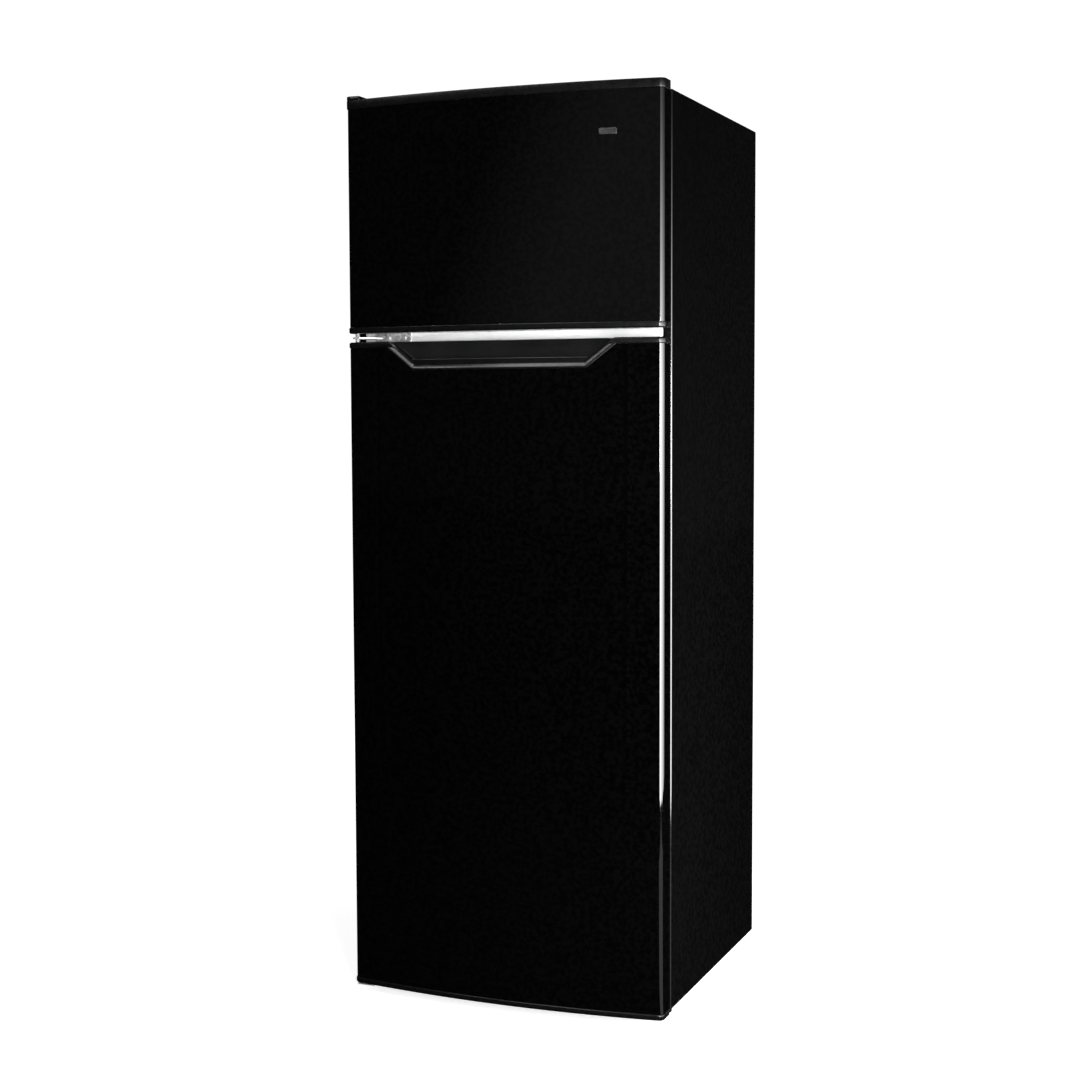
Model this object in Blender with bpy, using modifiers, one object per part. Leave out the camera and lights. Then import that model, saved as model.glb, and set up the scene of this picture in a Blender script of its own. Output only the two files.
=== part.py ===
"""Compact two-door refrigerator with the freezer on top, modelled at real size in metres.

+Z is up and the doors face -Y. The origin is at the middle of the footprint, on the floor.
Both doors turn about one vertical line of hinge pins near their left edge.
"""
import math

import bmesh
import bpy
from mathutils import Matrix, Vector

# ---------------------------------------------------------------- driving dimensions
GAP = 0.0003                  # clearance kept between pieces that touch
WIDTH = 0.534
HALF = WIDTH / 2
CAB_BOTTOM = 0.028            # the cabinet stands on feet this tall
CAB_TOP = 1.440
CAB_DEPTH = 0.470
DEPTH = 0.560                 # door front to rear spacers
FRONT = -DEPTH / 2            # foremost line of the door caps
CAP_PROUD = 0.002             # the caps stand out from the door skins
CROWN = 0.021                 # how far a door front bulges at mid width
CORNER = 0.010                # radius of the doors' vertical edges
EDGE_Y = FRONT + CAP_PROUD + CROWN - CORNER     # front line at the doors' edges
CAB_FRONT = EDGE_Y + 0.0455
CAB_BACK = CAB_FRONT + CAB_DEPTH
GASKET_GAP = 0.008
DOOR_BACK = CAB_FRONT - GASKET_GAP
STEEL = 0.001                 # sheet of the wrapper, skins and back
FLANGE = 0.014                # folded front edge of the wrapper

FREEZER_DOOR = (1.0823, 1.4510)
FRIDGE_DOOR = (0.0200, 1.0685)
TOP_CAP = 0.014               # height of the freezer door's top cap
CAP = 0.0093                  # height of the other door caps
HINGE_X = -HALF + 0.012
HINGE_Y = EDGE_Y + 0.020
PIN_R = 0.0035
PIN_HOLE_R = 0.0038

LINER = 0.0015                # wall of the moulded linings
FREEZER_HALF = 0.225
FREEZER_CAVITY = (1.1085, 1.3950)
FRIDGE_HALF = 0.229
FRIDGE_CAVITY = (0.0750, 1.0430)
CAVITY_BACK = CAB_BACK - 0.045
LINER_ROUND = 0.012
HUMP_TOP = 0.255              # lining step over the compressor
HUMP_FRONT = 0.045
HUMP_SLOPE = 0.025
BAY_TOP = 0.215               # compressor bay under the rear of the cabinet
BAY_FRONT = 0.080
BAY_SLOPE = 0.025
FLOOR_SHEET = 0.0012

SHELF_LEVELS = (0.262, 0.500, 0.760)
SHELF_FRONT = CAB_FRONT + 0.115
RIB = (0.008, 0.006)          # width and height of the ribs that carry the shelves
FREEZER_SHELF_Z = 1.2500
COVER_Y = 0.1400              # front face of the evaporator cover

GRIP_DEPTH = 0.046            # below the top of the fridge door
GRIP_TOP_HALF = 0.2067
GRIP_BOTTOM_HALF = 0.1470
GRIP_RIM = 0.0095
LIP_DROP = 0.028              # top of the lip behind the rim
LIP_BACK = FRONT + 0.0155
CUP_BACK = FRONT + 0.0405
GRIP_STEP = 0.0040            # the lip's face lies this far behind the rim

# ---------------------------------------------------------------- scene and helpers
for old in list(bpy.data.objects):
    bpy.data.objects.remove(old, do_unlink=True)
PARTS = bpy.data.collections.new("top_freezer_refrigerator")
CUTTERS = bpy.data.collections.new("cutters")
bpy.context.scene.collection.children.link(PARTS)
bpy.context.scene.collection.children.link(CUTTERS)


def from_bmesh(name, bm):
    """Put a bmesh in a new object among the cutters, where pieces wait until they are finished."""
    mesh = bpy.data.meshes.new(name)
    bm.to_mesh(mesh)
    bm.free()
    obj = bpy.data.objects.new(name, mesh)
    obj.hide_render = True
    obj.display_type = 'WIRE'
    CUTTERS.objects.link(obj)
    return obj


def span(lo, hi):
    """Middle and size of an interval."""
    return (lo + hi) / 2, hi - lo


def box(x, y, z, bevel=0.0, segments=2, keep=None):
    """Box between (low, high) pairs; keep(v0, v1) chooses the edges that are rounded."""
    bm = bmesh.new()
    bmesh.ops.create_cube(bm, size=1.0)
    middles, sizes = zip(span(*x), span(*y), span(*z))
    bmesh.ops.scale(bm, vec=sizes, verts=bm.verts)
    bmesh.ops.translate(bm, vec=middles, verts=bm.verts)
    if bevel:
        edges = [e for e in bm.edges if keep is None or keep(e.verts[0].co, e.verts[1].co)]
        bmesh.ops.bevel(bm, geom=edges, offset=bevel, segments=segments, profile=0.5, affect='EDGES')
    return from_bmesh("box", bm)


def cylinder(centre, radius, length, axis='Z', sides=20, top_radius=None):
    """Cylinder, or cone, centred on a point and lying along an axis."""
    bm = bmesh.new()
    bmesh.ops.create_cone(bm, cap_ends=True, segments=sides, radius1=radius,
                          radius2=radius if top_radius is None else top_radius, depth=length)
    turns = {'X': Matrix.Rotation(math.pi / 2, 3, 'Y'), 'Y': Matrix.Rotation(-math.pi / 2, 3, 'X')}
    if axis in turns:
        bmesh.ops.rotate(bm, cent=(0, 0, 0), matrix=turns[axis], verts=bm.verts)
    bmesh.ops.translate(bm, vec=centre, verts=bm.verts)
    return from_bmesh("cylinder", bm)


def mesh_of_curve(curve):
    """Turn a curve object into a mesh object with welded caps."""
    CUTTERS.objects.link(curve)
    graph = bpy.context.evaluated_depsgraph_get()
    mesh = bpy.data.meshes.new_from_object(curve.evaluated_get(graph))
    bm = bmesh.new()
    bm.from_mesh(mesh)
    bmesh.ops.remove_doubles(bm, verts=bm.verts, dist=0.00001)
    bmesh.ops.recalc_face_normals(bm, faces=bm.faces)
    bm.transform(curve.matrix_world)
    bpy.data.objects.remove(curve, do_unlink=True)
    return from_bmesh("outline", bm)


def slab(points, lo, hi, axis='Z'):
    """Flat outline filled and given a thickness: (x, y) along Z, (x, z) along Y, (y, z) along X."""
    data = bpy.data.curves.new("outline", 'CURVE')
    data.dimensions = '2D'
    data.fill_mode = 'BOTH'
    data.extrude = (hi - lo) / 2
    spline = data.splines.new('POLY')
    spline.points.add(len(points) - 1)
    for point, (u, v) in zip(spline.points, points):
        point.co = (u, v, 0.0, 1.0)
    spline.use_cyclic_u = True
    curve = bpy.data.objects.new("outline", data)
    middle = (lo + hi) / 2
    frames = {
        'Z': Matrix(((1, 0, 0, 0), (0, 1, 0, 0), (0, 0, 1, middle), (0, 0, 0, 1))),
        'Y': Matrix(((1, 0, 0, 0), (0, 0, -1, middle), (0, 1, 0, 0), (0, 0, 0, 1))),
        'X': Matrix(((0, 0, 1, middle), (1, 0, 0, 0), (0, 1, 0, 0), (0, 0, 0, 1))),
    }
    curve.matrix_world = frames[axis]
    bpy.context.view_layer.update()
    return mesh_of_curve(curve)


def tube(points, radius, resolution=2):
    """Round tube through a list of points."""
    data = bpy.data.curves.new("tube", 'CURVE')
    data.dimensions = '3D'
    data.bevel_depth = radius
    data.bevel_resolution = resolution
    data.use_fill_caps = True
    spline = data.splines.new('POLY')
    spline.points.add(len(points) - 1)
    for point, place in zip(spline.points, points):
        point.co = (*place, 1.0)
    return mesh_of_curve(bpy.data.objects.new("tube", data))


def turned(profile, centre, axis='Z', steps=24):
    """Turned solid: (radius, height) pairs from the top of the axis down, revolved once."""
    bm = bmesh.new()
    verts = [bm.verts.new((radius, 0.0, height)) for radius, height in profile]
    for first, second in zip(verts, verts[1:]):
        bm.edges.new((first, second))
    obj = from_bmesh("turned", bm)
    screw = obj.modifiers.new("Screw", 'SCREW')
    screw.axis = 'Z'
    screw.steps = steps
    screw.render_steps = steps
    screw.use_merge_vertices = True
    screw.merge_threshold = 0.00001
    apply_modifiers(obj)
    bm = bmesh.new()
    bm.from_mesh(obj.data)
    bmesh.ops.remove_doubles(bm, verts=bm.verts, dist=0.00001)
    bmesh.ops.recalc_face_normals(bm, faces=bm.faces)
    if axis == 'Y':
        bmesh.ops.rotate(bm, cent=(0, 0, 0), matrix=Matrix.Rotation(math.pi / 2, 3, 'X'), verts=bm.verts)
    bmesh.ops.translate(bm, vec=centre, verts=bm.verts)
    bm.to_mesh(obj.data)
    bm.free()
    return obj


def apply_modifiers(obj):
    """Replace an object's mesh by its modified one."""
    bpy.context.view_layer.update()
    graph = bpy.context.evaluated_depsgraph_get()
    mesh = bpy.data.meshes.new_from_object(obj.evaluated_get(graph))
    obj.modifiers.clear()
    obj.data = mesh


def combine(obj, other, operation):
    """Boolean of two objects; the second one is used up."""
    modifier = obj.modifiers.new("Boolean", 'BOOLEAN')
    modifier.operation = operation
    modifier.solver = 'EXACT'
    modifier.object = other
    apply_modifiers(obj)
    bpy.data.objects.remove(other, do_unlink=True)
    return obj


def cut(obj, *tools):
    """Take each tool's volume out of an object."""
    for tool in tools:
        combine(obj, tool, 'DIFFERENCE')
    return obj


def join(obj, *others):
    """Fuse other solids into an object."""
    for other in others:
        combine(obj, other, 'UNION')
    return obj


def common(obj, other):
    """Keep what two solids share."""
    return combine(obj, other, 'INTERSECT')


def material(name, colour, roughness, metallic=0.0, alpha=1.0):
    """Principled material of one colour."""
    made = bpy.data.materials.new(name)
    made.use_nodes = True
    shader = made.node_tree.nodes["Principled BSDF"]
    shader.inputs["Base Color"].default_value = (*colour, 1.0)
    shader.inputs["Roughness"].default_value = roughness
    shader.inputs["Metallic"].default_value = metallic
    shader.inputs["Alpha"].default_value = alpha
    return made


LOOKS = {
    "black_steel": ((0.012, 0.012, 0.013), 0.22, 0.0),
    "dark_steel": ((0.020, 0.020, 0.021), 0.42, 0.0),
    "dark_plastic": ((0.045, 0.045, 0.048), 0.38, 0.0),
    "white_plastic": ((0.86, 0.87, 0.87), 0.35, 0.0),
    "zinc": ((0.62, 0.63, 0.64), 0.35, 1.0),
    "copper": ((0.72, 0.38, 0.24), 0.35, 1.0),
    "foam": ((0.85, 0.78, 0.55), 0.90, 0.0),
    "gasket": ((0.10, 0.10, 0.105), 0.60, 0.0),
    "glass": ((0.80, 0.88, 0.87), 0.05, 0.0),
    "clear_plastic": ((0.78, 0.84, 0.86), 0.12, 0.0),
    "aluminium": ((0.75, 0.76, 0.77), 0.40, 1.0),
    "black_rubber": ((0.02, 0.02, 0.02), 0.75, 0.0),
}


def finish(obj, name, look, origin=(0.0, 0.0, 0.0)):
    """Clean a piece, name it, give it its material and put its origin where it turns."""
    bm = bmesh.new()
    bm.from_mesh(obj.data)
    bmesh.ops.remove_doubles(bm, verts=bm.verts, dist=0.000002)
    bmesh.ops.dissolve_limit(bm, angle_limit=0.002, verts=bm.verts, edges=bm.edges)
    bmesh.ops.triangulate(bm, faces=bm.faces)
    bmesh.ops.recalc_face_normals(bm, faces=bm.faces)
    bm.transform(Matrix.Translation(-Vector(origin)))
    bm.to_mesh(obj.data)
    bm.free()
    obj.data.materials.clear()
    colour, roughness, metallic = LOOKS[look]
    alpha = 0.35 if look in ("glass", "clear_plastic") else 1.0
    obj.data.materials.append(material(name, colour, roughness, metallic, alpha))
    obj.data.shade_smooth()
    obj.data.set_sharp_from_angle(angle=math.radians(35))
    obj.name = name
    obj.data.name = name
    obj.location = origin
    obj.hide_render = False
    obj.display_type = 'TEXTURED'
    CUTTERS.objects.unlink(obj)
    PARTS.objects.link(obj)
    return obj


def both(lo, hi):
    """The interval and its mirror image."""
    return ((lo, hi), (-hi, -lo))


# ---------------------------------------------------------------- shapes that several pieces share
def crown_y(x, shift=0.0):
    """Front line of a door across its width."""
    return EDGE_Y + CORNER - CROWN * (1 - (x / HALF) ** 2) + shift


def door_outline(half, shift, radius, back, across=22, around=5):
    """Plan outline of a door: straight sides, rounded corners, crowned front."""
    tangent = -half + radius
    for _ in range(12):
        slope = 2 * CROWN * tangent / HALF ** 2
        normal_x = -slope / math.hypot(1, slope)
        tangent = -half + radius * (1 - normal_x)
    normal_y = 1 / math.hypot(1, slope)
    centre = (tangent + radius * normal_x, crown_y(tangent, shift) + radius * normal_y)
    last = math.atan2(-normal_y, -normal_x) + 2 * math.pi
    corner = []
    for step in range(around + 1):
        angle = math.pi + (last - math.pi) * step / around
        corner.append((centre[0] + radius * math.cos(angle), centre[1] + radius * math.sin(angle)))
    front = []
    for step in range(1, across):
        x = tangent * (1 - 2 * step / across)
        front.append((x, crown_y(x, shift)))
    mirrored = [(-x, y) for x, y in reversed(corner)]
    return [(-half, back)] + corner + front + mirrored + [(half, back)]


def rounded_rectangle(half_width, lo, hi, radius, steps=3):
    """Outline of a rectangle with rounded corners, as (x, z) pairs."""
    points = []
    corners = ((half_width - radius, hi - radius, 0), (-half_width + radius, hi - radius, 1),
               (-half_width + radius, lo + radius, 2), (half_width - radius, lo + radius, 3))
    for x, z, quarter in corners:
        for step in range(steps + 1):
            angle = (quarter + step / steps) * math.pi / 2
            points.append((x + radius * math.cos(angle), z + radius * math.sin(angle)))
    return points


def grow(points, distance):
    """Outline of (u, v) pairs, listed counter-clockwise, moved outwards by a distance."""
    moved = []
    count = len(points)
    for index in range(count):
        before = Vector(points[index - 1])
        here = Vector(points[index])
        after = Vector(points[(index + 1) % count])
        first = (here - before).normalized()
        second = (after - here).normalized()
        normal_1 = Vector((first.y, -first.x))
        normal_2 = Vector((second.y, -second.x))
        bisector = (normal_1 + normal_2).normalized()
        moved.append(tuple(here + bisector * distance / bisector.dot(normal_1)))
    return moved


def tub(half, side_outline, extra, front):
    """Rounded hollow form of a lining, larger by extra all round; its front stays open and sharp."""
    points = grow(side_outline, extra)
    points = [(front, v) if abs(u - (side_outline[0][0] - extra)) < 1e-6 else (u, v) for u, v in points]
    solid = slab(points, -half - extra, half + extra, 'X')
    bm = bmesh.new()
    bm.from_mesh(solid.data)
    bmesh.ops.dissolve_limit(bm, angle_limit=0.002, verts=bm.verts, edges=bm.edges)
    edges = []
    for edge in bm.edges:
        a, b = edge.verts[0].co, edge.verts[1].co
        if abs(a.y - front) > 1e-6 or abs(b.y - front) > 1e-6:
            edges.append(edge)
    bmesh.ops.bevel(bm, geom=edges, offset=LINER_ROUND + extra, segments=3, profile=0.5, affect='EDGES')
    bm.to_mesh(solid.data)
    bm.free()
    return solid


FREEZER_SIDE = [(CAB_FRONT, FREEZER_CAVITY[0]), (CAVITY_BACK, FREEZER_CAVITY[0]),
                (CAVITY_BACK, FREEZER_CAVITY[1]), (CAB_FRONT, FREEZER_CAVITY[1])]
FRIDGE_SIDE = [(CAB_FRONT, FRIDGE_CAVITY[0]), (HUMP_FRONT, FRIDGE_CAVITY[0]),
               (HUMP_FRONT + HUMP_SLOPE, HUMP_TOP), (CAVITY_BACK, HUMP_TOP),
               (CAVITY_BACK, FRIDGE_CAVITY[1]), (CAB_FRONT, FRIDGE_CAVITY[1])]
MULLION = (FRIDGE_CAVITY[1] + 0.0085, FREEZER_CAVITY[0] - 0.0085)
PLUNGER = (0.2367, 0.9800)
PLUNGER_R = 0.004
MIDDLE_Z = (FREEZER_DOOR[0] + FRIDGE_DOOR[1]) / 2
SCREW_R = 0.0021
MIDDLE_SCREWS = (-0.2110, -0.1830)
FRONT_FEET = 0.205
FRONT_FOOT_Y = CAB_FRONT + 0.045


# ---------------------------------------------------------------- cabinet
def cabinet_shell():
    """Wrapper of painted steel: two sides and a top, with a folded front edge."""
    def outer_edges(a, b):
        along_top = a.z > 1.0 and b.z > 1.0 and abs(a.x - b.x) < 1e-6
        front = a.y < 0 and b.y < 0 and not (a.z < 1.0 and b.z < 1.0)
        return along_top or front
    outer = box((-HALF, HALF), (CAB_FRONT, CAB_BACK), (CAB_BOTTOM, CAB_TOP), 0.0030, 3, outer_edges)
    inside = HALF - STEEL
    inner = box((-inside, inside), (CAB_FRONT + STEEL, CAB_BACK + 0.05),
                (CAB_BOTTOM - 0.05, CAB_TOP - STEEL), 0.0020, 3, outer_edges)
    window = HALF - FLANGE
    opening = box((-window, window), (CAB_FRONT - 0.01, CAB_FRONT + 0.01), (0.0, CAB_TOP - FLANGE))
    screw_hole = cylinder((*TOP_SCREW, CAB_TOP), SCREW_R + GAP, 0.02, sides=12)
    finish(cut(outer, inner, opening, screw_hole), "cabinet_shell", "black_steel")


def upper_corners(a, b):
    """Edges that run front to back at the top of a box."""
    return a.z > 1.4 and b.z > 1.4 and abs(a.x - b.x) < 1e-6


def back_panel():
    """Flat sheet that closes the back above the compressor bay."""
    sheet = box((-HALF + STEEL + GAP, HALF - STEEL - GAP), (CAB_BACK - STEEL, CAB_BACK),
                (BAY_TOP, CAB_TOP - STEEL - GAP), 0.0030, 3, upper_corners)
    finish(sheet, "back_panel", "dark_steel")


def floor_outline(extra=0.0):
    """Side view of the folded floor sheet's under face, moved up by extra."""
    slope = math.hypot(BAY_SLOPE, BAY_TOP - CAB_BOTTOM)
    lean = BAY_SLOPE * extra / (BAY_TOP - CAB_BOTTOM)
    shift = slope * extra / (BAY_TOP - CAB_BOTTOM)
    back = CAB_BACK - STEEL - GAP
    return [(BAY_FRONT - shift + lean, CAB_BOTTOM + extra),
            (BAY_FRONT + BAY_SLOPE - shift + lean, BAY_TOP + extra), (back, BAY_TOP + extra)]


def floor_sheet():
    """Folded steel floor: front leg, flat bottom, and a step over the compressor bay."""
    leg = CAB_FRONT + STEEL + GAP
    under = [(leg, CAB_BOTTOM)] + floor_outline()
    over = floor_outline(FLOOR_SHEET)[::-1] + [(leg + FLOOR_SHEET, CAB_BOTTOM + FLOOR_SHEET)]
    outline = under + over + [(leg + FLOOR_SHEET, 0.0500), (leg, 0.0500)]
    half = HALF - STEEL - 0.0022
    sheet = slab(outline, -half, half, 'X')
    for x in (-FRONT_FEET, FRONT_FEET):
        cut(sheet, cylinder((x, FRONT_FOOT_Y, CAB_BOTTOM), 0.0043, 0.02))
    finish(sheet, "floor_sheet", "dark_steel")


def cabinet_foam():
    """Foamed insulation between the wrapper and both linings."""
    front = CAB_FRONT + STEEL + GAP + FLOOR_SHEET + GAP
    half = HALF - STEEL - GAP
    bottom = floor_outline(FLOOR_SHEET + GAP)
    back = CAB_BACK - STEEL - GAP
    bottom[-1] = (back, bottom[-1][1])
    outline = [(front, bottom[0][1])] + bottom + [(back, CAB_TOP - STEEL - GAP),
                                                  (front, CAB_TOP - STEEL - GAP)]
    foam = slab(outline, -half, half, 'X')
    bm = bmesh.new()
    bm.from_mesh(foam.data)
    bmesh.ops.dissolve_limit(bm, angle_limit=0.002, verts=bm.verts, edges=bm.edges)
    top = CAB_TOP - STEEL - GAP - 0.001
    edges = [e for e in bm.edges if all(v.co.z > top for v in e.verts)
             and abs(e.verts[0].co.x - e.verts[1].co.x) < 1e-6]
    bmesh.ops.bevel(bm, geom=edges, offset=0.0030, segments=2, profile=0.5, affect='EDGES')
    bm.to_mesh(foam.data)
    bm.free()
    mullion_space = box((-half - 0.01, half + 0.01), (front - 0.01, CAB_FRONT + 0.0085),
                        (MULLION[0] - GAP, MULLION[1] + GAP))
    room = LINER + GAP
    cut(foam, tub(FREEZER_HALF, FREEZER_SIDE, room, front - 0.01),
        tub(FRIDGE_HALF, FRIDGE_SIDE, room, front - 0.01), mullion_space)
    cut(foam, cylinder((PLUNGER[0], CAB_FRONT + 0.015, PLUNGER[1]), 0.0050, 0.040, 'Y'))
    for x in (-FRONT_FEET, FRONT_FEET):
        cut(foam, cylinder((x, FRONT_FOOT_Y, CAB_BOTTOM + 0.010), 0.0050, 0.040))
    cut(foam, cylinder((*TOP_SCREW, CAB_TOP), 0.0030, 0.024, sides=12))
    finish(foam, "cabinet_foam", "foam")


def freezer_liner():
    """White moulded lining of the freezer, with its front flange and shelf ribs."""
    low, high = MULLION[1] + GAP, CAB_TOP - FLANGE - GAP
    flange_half = HALF - FLANGE - GAP
    liner = tub(FREEZER_HALF, FREEZER_SIDE, LINER, CAB_FRONT)
    join(liner, box((-flange_half, flange_half), (CAB_FRONT, CAB_FRONT + LINER), (low, high)))
    cut(liner, tub(FREEZER_HALF, FREEZER_SIDE, 0.0, CAB_FRONT - 0.01))
    top = FREEZER_SHELF_Z - GAP
    for x in both(FREEZER_HALF - RIB[0], FREEZER_HALF + LINER / 2):
        join(liner, box(x, (SHELF_FRONT, COVER_Y - 0.005), (top - RIB[1], top)))
    finish(liner, "freezer_liner", "white_plastic")


def fridge_liner():
    """White moulded lining of the fresh-food space, stepped over the compressor bay."""
    low, high = 0.0500 + GAP, MULLION[0] - GAP
    flange_half = HALF - FLANGE - GAP
    liner = tub(FRIDGE_HALF, FRIDGE_SIDE, LINER, CAB_FRONT)
    join(liner, box((-flange_half, flange_half), (CAB_FRONT, CAB_FRONT + LINER), (low, high)))
    cut(liner, tub(FRIDGE_HALF, FRIDGE_SIDE, 0.0, CAB_FRONT - 0.01))
    for level in SHELF_LEVELS:
        top = level - GAP
        back = HUMP_FRONT if level == SHELF_LEVELS[0] else CAVITY_BACK - 0.015
        for x in both(FRIDGE_HALF - RIB[0], FRIDGE_HALF + LINER / 2):
            join(liner, box(x, (SHELF_FRONT + 0.004, back), (top - RIB[1], top)))
    cut(liner, cylinder((PLUNGER[0], CAB_FRONT, PLUNGER[1]), PLUNGER_R + GAP, 0.02, 'Y'))
    finish(liner, "fridge_liner", "white_plastic")


def center_mullion():
    """White bar between the two compartments, drilled for the middle hinge."""
    half = HALF - FLANGE - GAP
    bar = box((-half, half), (CAB_FRONT, CAB_FRONT + 0.0080), MULLION)
    for x in MIDDLE_SCREWS:
        cut(bar, cylinder((x, CAB_FRONT, MIDDLE_Z), SCREW_R + GAP, 0.014, 'Y', 12))
    finish(bar, "center_mullion", "white_plastic")


# ---------------------------------------------------------------- hinges and feet
TOP_PLATE_Z = (CAB_TOP + GAP, CAB_TOP + GAP + 0.0025)
TOP_ARM_Z = (FREEZER_DOOR[1] + 0.0005, FREEZER_DOOR[1] + 0.0030)
TOP_COVER_Z = 1.4580
TOP_HINGE_X = (-HALF + 0.0040, -HALF + 0.0220)
TOP_SCREW = (-HALF + 0.0130, CAB_FRONT + 0.0350)


def top_hinge():
    """Joggled steel strap on the cabinet's top with the freezer door's upper pin."""
    step = CAB_FRONT + 0.0005
    back = CAB_FRONT + 0.0600
    front = HINGE_Y - 0.0080
    outline = [(front, TOP_ARM_Z[0]), (step, TOP_ARM_Z[0]), (step, TOP_PLATE_Z[0]), (back, TOP_PLATE_Z[0]),
               (back, TOP_PLATE_Z[1]), (step + 0.0025, TOP_PLATE_Z[1]), (step + 0.0025, TOP_ARM_Z[1]),
               (front, TOP_ARM_Z[1])]
    strap = slab(outline, *TOP_HINGE_X, 'X')
    pin_low = FREEZER_DOOR[1] - 0.0110
    join(strap, cylinder((HINGE_X, HINGE_Y, (pin_low + TOP_ARM_Z[1]) / 2), PIN_R, TOP_ARM_Z[1] - pin_low,
                         sides=16))
    cut(strap, cylinder((*TOP_SCREW, CAB_TOP), SCREW_R + GAP, 0.02, sides=12))
    finish(strap, "top_hinge", "zinc")


def top_hinge_cover():
    """Plastic cap over the top hinge."""
    wall = 0.0015
    front, back = HINGE_Y - 0.0100, CAB_FRONT + 0.0630
    x = (TOP_HINGE_X[0] - 0.0025, TOP_HINGE_X[1] + 0.0025)

    def upper(a, b):
        return a.z > TOP_COVER_Z - 0.001 and b.z > TOP_COVER_Z - 0.001 or abs(a.z - b.z) > 0.001
    cover = box(x, (front, back), (CAB_TOP + GAP, TOP_COVER_Z), 0.0020, 2, upper)
    room = box((x[0] + wall, x[1] - wall), (front + wall, back - wall),
               (CAB_TOP - 0.01, TOP_COVER_Z - wall))
    over_door = box((x[0] - 0.01, x[1] + 0.01), (front - 0.01, CAB_FRONT),
                    (CAB_TOP - 0.01, FREEZER_DOOR[1] + 0.0005))
    finish(cut(cover, room, over_door), "top_hinge_cover", "dark_plastic")


def middle_hinge():
    """Bracket on the mullion whose arm carries the pin between the doors."""
    low = -0.2350
    plate = box((low, -0.1710), (CAB_FRONT - 0.0023, CAB_FRONT - GAP), (MIDDLE_Z - 0.0110, MIDDLE_Z + 0.0110))
    arm_points = [(HINGE_X - 0.0055, HINGE_Y - 0.0060), (HINGE_X + 0.0060, HINGE_Y - 0.0060),
                  (low + 0.0130, CAB_FRONT - 0.0060), (low + 0.0130, CAB_FRONT - 0.0010),
                  (low, CAB_FRONT - 0.0010), (low, CAB_FRONT - 0.0050), (HINGE_X - 0.0055, HINGE_Y + 0.0060)]
    join(plate, slab(arm_points, MIDDLE_Z - 0.0015, MIDDLE_Z + 0.0015))
    join(plate, cylinder((HINGE_X, HINGE_Y, MIDDLE_Z), PIN_R, 0.0300, sides=16))
    for x in MIDDLE_SCREWS:
        cut(plate, cylinder((x, CAB_FRONT, MIDDLE_Z), SCREW_R + GAP, 0.02, 'Y', 12))
    finish(plate, "middle_hinge", "zinc")


def screw(name, head, axis_y=True):
    """Pan-head screw; head is the point under its head."""
    length = 0.0075
    if axis_y:
        shank = cylinder((head[0], head[1] + length / 2 - 0.0005, head[2]), SCREW_R, length, 'Y', 12)
        cap = cylinder((head[0], head[1] - 0.0012, head[2]), 0.0030, 0.0024, 'Y', 16, 0.0046)
    else:
        shank = cylinder((head[0], head[1], head[2] - length / 2 + 0.0005), SCREW_R, length, 'Z', 12)
        cap = cylinder((head[0], head[1], head[2] + 0.0012), 0.0046, 0.0024, 'Z', 16, 0.0030)
    finish(join(shank, cap), name, "zinc")


def bottom_hinge():
    """Joggled strap under the cabinet with the fridge door's lower pin."""
    arm = (FRIDGE_DOOR[0] - 0.0035, FRIDGE_DOOR[0] - 0.0010)
    plate = (CAB_BOTTOM - GAP - 0.0025, CAB_BOTTOM - GAP)
    step = CAB_FRONT + 0.0040
    back = CAB_FRONT + 0.0600
    front = HINGE_Y - 0.0090
    outline = [(front, arm[0]), (step, arm[0]), (step, plate[0]), (back, plate[0]), (back, plate[1]),
               (step - 0.0025, plate[1]), (step - 0.0025, arm[1]), (front, arm[1])]
    strap = slab(outline, HINGE_X - 0.0080, HINGE_X + 0.0220, 'X')
    pin_high = FRIDGE_DOOR[0] + 0.0090
    join(strap, cylinder((HINGE_X, HINGE_Y, (pin_high + arm[0]) / 2), PIN_R, pin_high - arm[0], sides=16))
    finish(strap, "bottom_hinge", "zinc")


def front_foot(name, x):
    """Levelling foot: a ribbed disc on a threaded stud."""
    foot = turned([(0.0, 0.0440), (0.0040, 0.0440), (0.0040, 0.0125), (0.0160, 0.0125), (0.0175, 0.0110),
                   (0.0175, 0.0012), (0.0160, 0.0), (0.0, 0.0)], (x, FRONT_FOOT_Y, 0.0))
    for step in range(8):
        angle = step * math.pi / 4
        notch = cylinder((x + 0.0188 * math.cos(angle), FRONT_FOOT_Y + 0.0188 * math.sin(angle), 0.006),
                         0.0030, 0.02, sides=8)
        cut(foot, notch)
    finish(foot, name, "dark_plastic", (x, FRONT_FOOT_Y, 0.0))


def rear_foot(name, x):
    """Fixed rear foot pressed under the compressor tray."""
    top = TRAY_Z[0] - GAP
    foot = turned([(0.0, top), (0.0150, top), (0.0130, 0.0015), (0.0115, 0.0), (0.0, 0.0)],
                  (x, 0.2150, 0.0), steps=20)
    finish(foot, name, "black_rubber")


# ---------------------------------------------------------------- compressor bay and back
TRAY_Z = (0.0285, 0.0300)
COMPRESSOR = (-0.0600, 0.1790)
COMPRESSOR_Z = 0.0303
COIL_R = 0.0024
COIL_Y = CAB_BACK + 0.0120
COIL_HALF = 0.2050
COIL_Z = (0.3200, 1.2800)
COIL_PASSES = 13


def compressor_tray():
    """Steel cross member that carries the compressor, with an upstand at each end."""
    half = HALF - STEEL - GAP
    tray = box((-half, half), (0.1120, 0.2450), TRAY_Z)
    for x in both(half - 0.0015, half):
        join(tray, box(x, (0.1120, 0.2450), (TRAY_Z[0], TRAY_Z[0] + 0.0200)))
    finish(tray, "compressor_tray", "dark_steel")


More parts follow.
